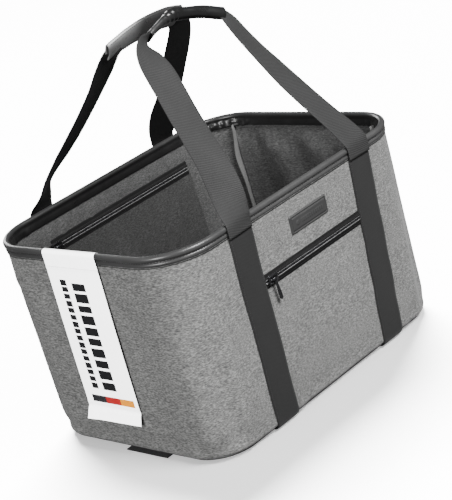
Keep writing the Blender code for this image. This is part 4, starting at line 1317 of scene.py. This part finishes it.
def hang_tag():
    card = lattice("tag_card_flap", tag_surface(np.linspace(0, 1, 34), np.linspace(0, 1, 90)), CARD)
    marks = [tag_mark((0.34, 0.59), drop, INK, WIDE_FIELD) for drop in WIDE_LINE]
    marks += [tag_mark((0.69, 0.81), drop, INK, SLIM_FIELD) for drop in SLIM_LINE]
    ink = join("tag_printed_lines", marks)
    blocks = (((0.61, 0.88), INK), ((0.33, 0.61), RED_INK), ((0.07, 0.33), AMBER_INK))
    bar = join("tag_colour_bar", [tag_mark(across, (0.846, 0.893), tone) for across, tone in blocks])
    dress(card, "card", "hang_tag", "hang_tag_flap")
    dress(ink, "card", "hang_tag")
    dress(bar, "card", "hang_tag")
    return card, bar


def carried_nodes():
    """Inner pieces that keep their CAD shape."""
    node_materials = {"base_board": BOARD}
    for part in ("tube_front", "tube_rear", "ferrule_left", "ferrule_right"):
        node_materials[f"frame_{part}"] = ALUMINIUM
    for name, material in node_materials.items():
        node = frame["nodes"][name]
        node.data.materials.clear()
        node.data.materials.append(material)


# Camera, floor and light.

CAMERA_AZIMUTH, CAMERA_ELEVATION = math.radians(-42.06), math.radians(20.12)
CAMERA_ROLL = math.radians(-16.2)
CAMERA_TARGET = Vector((0.0055, -0.0134, 0.1833))
CAMERA_DISTANCE, CAMERA_LENS, CAMERA_SENSOR = 2.2513, 117.8, 36.0
WORLD_SEEN, WORLD_FILL = 20.0, 0.13
FLOOR_ALBEDO, FLOOR_BOUNCE, FLOOR_GLOW = 0.8, 0.01, 0.45
FLOOR_Z, LAMP_TARGET = -0.0005, Vector((0, 0, 0.15))


def aim(direction):
    return Vector(direction).to_track_quat("-Z", "Y")


def camera():
    data = bpy.data.cameras.new("camera")
    data.lens, data.sensor_width = CAMERA_LENS, CAMERA_SENSOR
    made = link_object("camera", data)
    a, e = CAMERA_AZIMUTH, CAMERA_ELEVATION
    back = Vector((math.sin(a) * math.cos(e), -math.cos(a) * math.cos(e), math.sin(e)))
    turn = aim(-back).to_matrix().to_4x4() @ Matrix.Rotation(CAMERA_ROLL, 4, "Z")
    made.matrix_world = Matrix.Translation(CAMERA_TARGET + back * CAMERA_DISTANCE) @ turn
    bpy.context.scene.camera = made


def shader(tree, kind, **values):
    """The output of a new shader node with these inputs."""
    made = tree.nodes.new("ShaderNode" + kind)
    for name, value in values.items():
        made.inputs[name].default_value = value
    return made.outputs[0]


def ray_mix(tree, kind, seen, other):
    """Shows one shader to the camera and another to every other ray."""
    path = tree.nodes.new("ShaderNodeLightPath")
    mixer = tree.nodes.new("ShaderNodeMixShader")
    output = tree.nodes.new("ShaderNodeOutput" + kind)
    tree.links.new(path.outputs["Is Camera Ray"], mixer.inputs["Fac"])
    tree.links.new(other, mixer.inputs[1])
    tree.links.new(seen, mixer.inputs[2])
    tree.links.new(mixer.outputs[0], output.inputs["Surface"])


def world():
    made = bpy.data.worlds.new("studio")
    made.use_nodes = True
    made.node_tree.nodes.clear()
    seen = shader(made.node_tree, "Background", Color=(1, 1, 1, 1), Strength=WORLD_SEEN)
    fill = shader(made.node_tree, "Background", Color=(0.97, 0.985, 1.0, 1), Strength=WORLD_FILL)
    ray_mix(made.node_tree, "World", seen, fill)
    bpy.context.scene.world = made


def floor():
    data = bmesh.new()
    bmesh.ops.create_grid(data, x_segments=1, y_segments=1, size=9.0)
    material = bpy.data.materials.new("floor")
    material.use_nodes = True
    tree = material.node_tree
    tree.nodes.clear()
    paper = shader(tree, "BsdfDiffuse", Color=(*grey(FLOOR_ALBEDO), 1))
    dim = shader(tree, "BsdfDiffuse", Color=(*grey(FLOOR_BOUNCE), 1))
    glow = shader(tree, "Emission", Strength=FLOOR_GLOW)
    both = tree.nodes.new("ShaderNodeAddShader")
    tree.links.new(paper, both.inputs[0])
    tree.links.new(glow, both.inputs[1])
    ray_mix(tree, "Material", both.outputs[0], dim)
    made = add_object("floor", data, material)
    made.location.z = FLOOR_Z
    return made


def shine_on(lamp, *objects):
    """Lets a lamp light these objects and nothing else."""
    group = bpy.data.collections.new(lamp.name + "_receivers")
    for obj in objects:
        group.objects.link(obj)
    lamp.light_linking.receiver_collection = group


def softbox(name, place_at, size, power):
    """A rectangular lamp that faces the middle of the bag."""
    data = bpy.data.lights.new(name, "AREA")
    data.shape = "RECTANGLE"
    data.size, data.size_y = size
    data.energy = power
    made = link_object(name, data)
    made.location = place_at
    made.rotation_euler = aim(LAMP_TARGET - made.location).to_euler()
    return made


def sun(name, towards, strength, spread):
    data = bpy.data.lights.new(name, "SUN")
    data.energy, data.angle = strength, math.radians(spread)
    made = link_object(name, data)
    made.rotation_euler = aim(towards).to_euler()
    return made


def lights(floor_sheet, flap, loop, bar):
    softbox("key", (0.15, -2.10, 2.45), (1.3, 1.1), 178)
    softbox("left", (-2.40, -0.60, 0.85), (0.8, 0.8), 48)
    softbox("back", (0.9, 2.5, 1.1), (1.0, 1.0), 26)
    shine_on(sun("floor_lamp", (-0.50, -0.50, -1.0), 64, 32), floor_sheet)
    shine_on(softbox("card_lamp", (-1.9, -0.9, 1.3), (0.8, 0.8), 300), flap, loop)
    shine_on(softbox("ink_lamp", (-1.9, -0.9, 1.3), (0.8, 0.8), 70), bar)


def main():
    camera()
    world()
    floor_sheet = floor()
    for build in (
        outer_panels, bottom_cloth, base_piping, closing_band, base_straps, sewn_straps, rim_cover, linings,
        floor_lining, corner_bindings, pocket_cloths, handle_legs, grips, zips, label_patch,
    ):
        build()
    flap, bar = hang_tag()
    loop = tag_loop()
    carried_nodes()
    lights(floor_sheet, flap, loop, bar)


main()
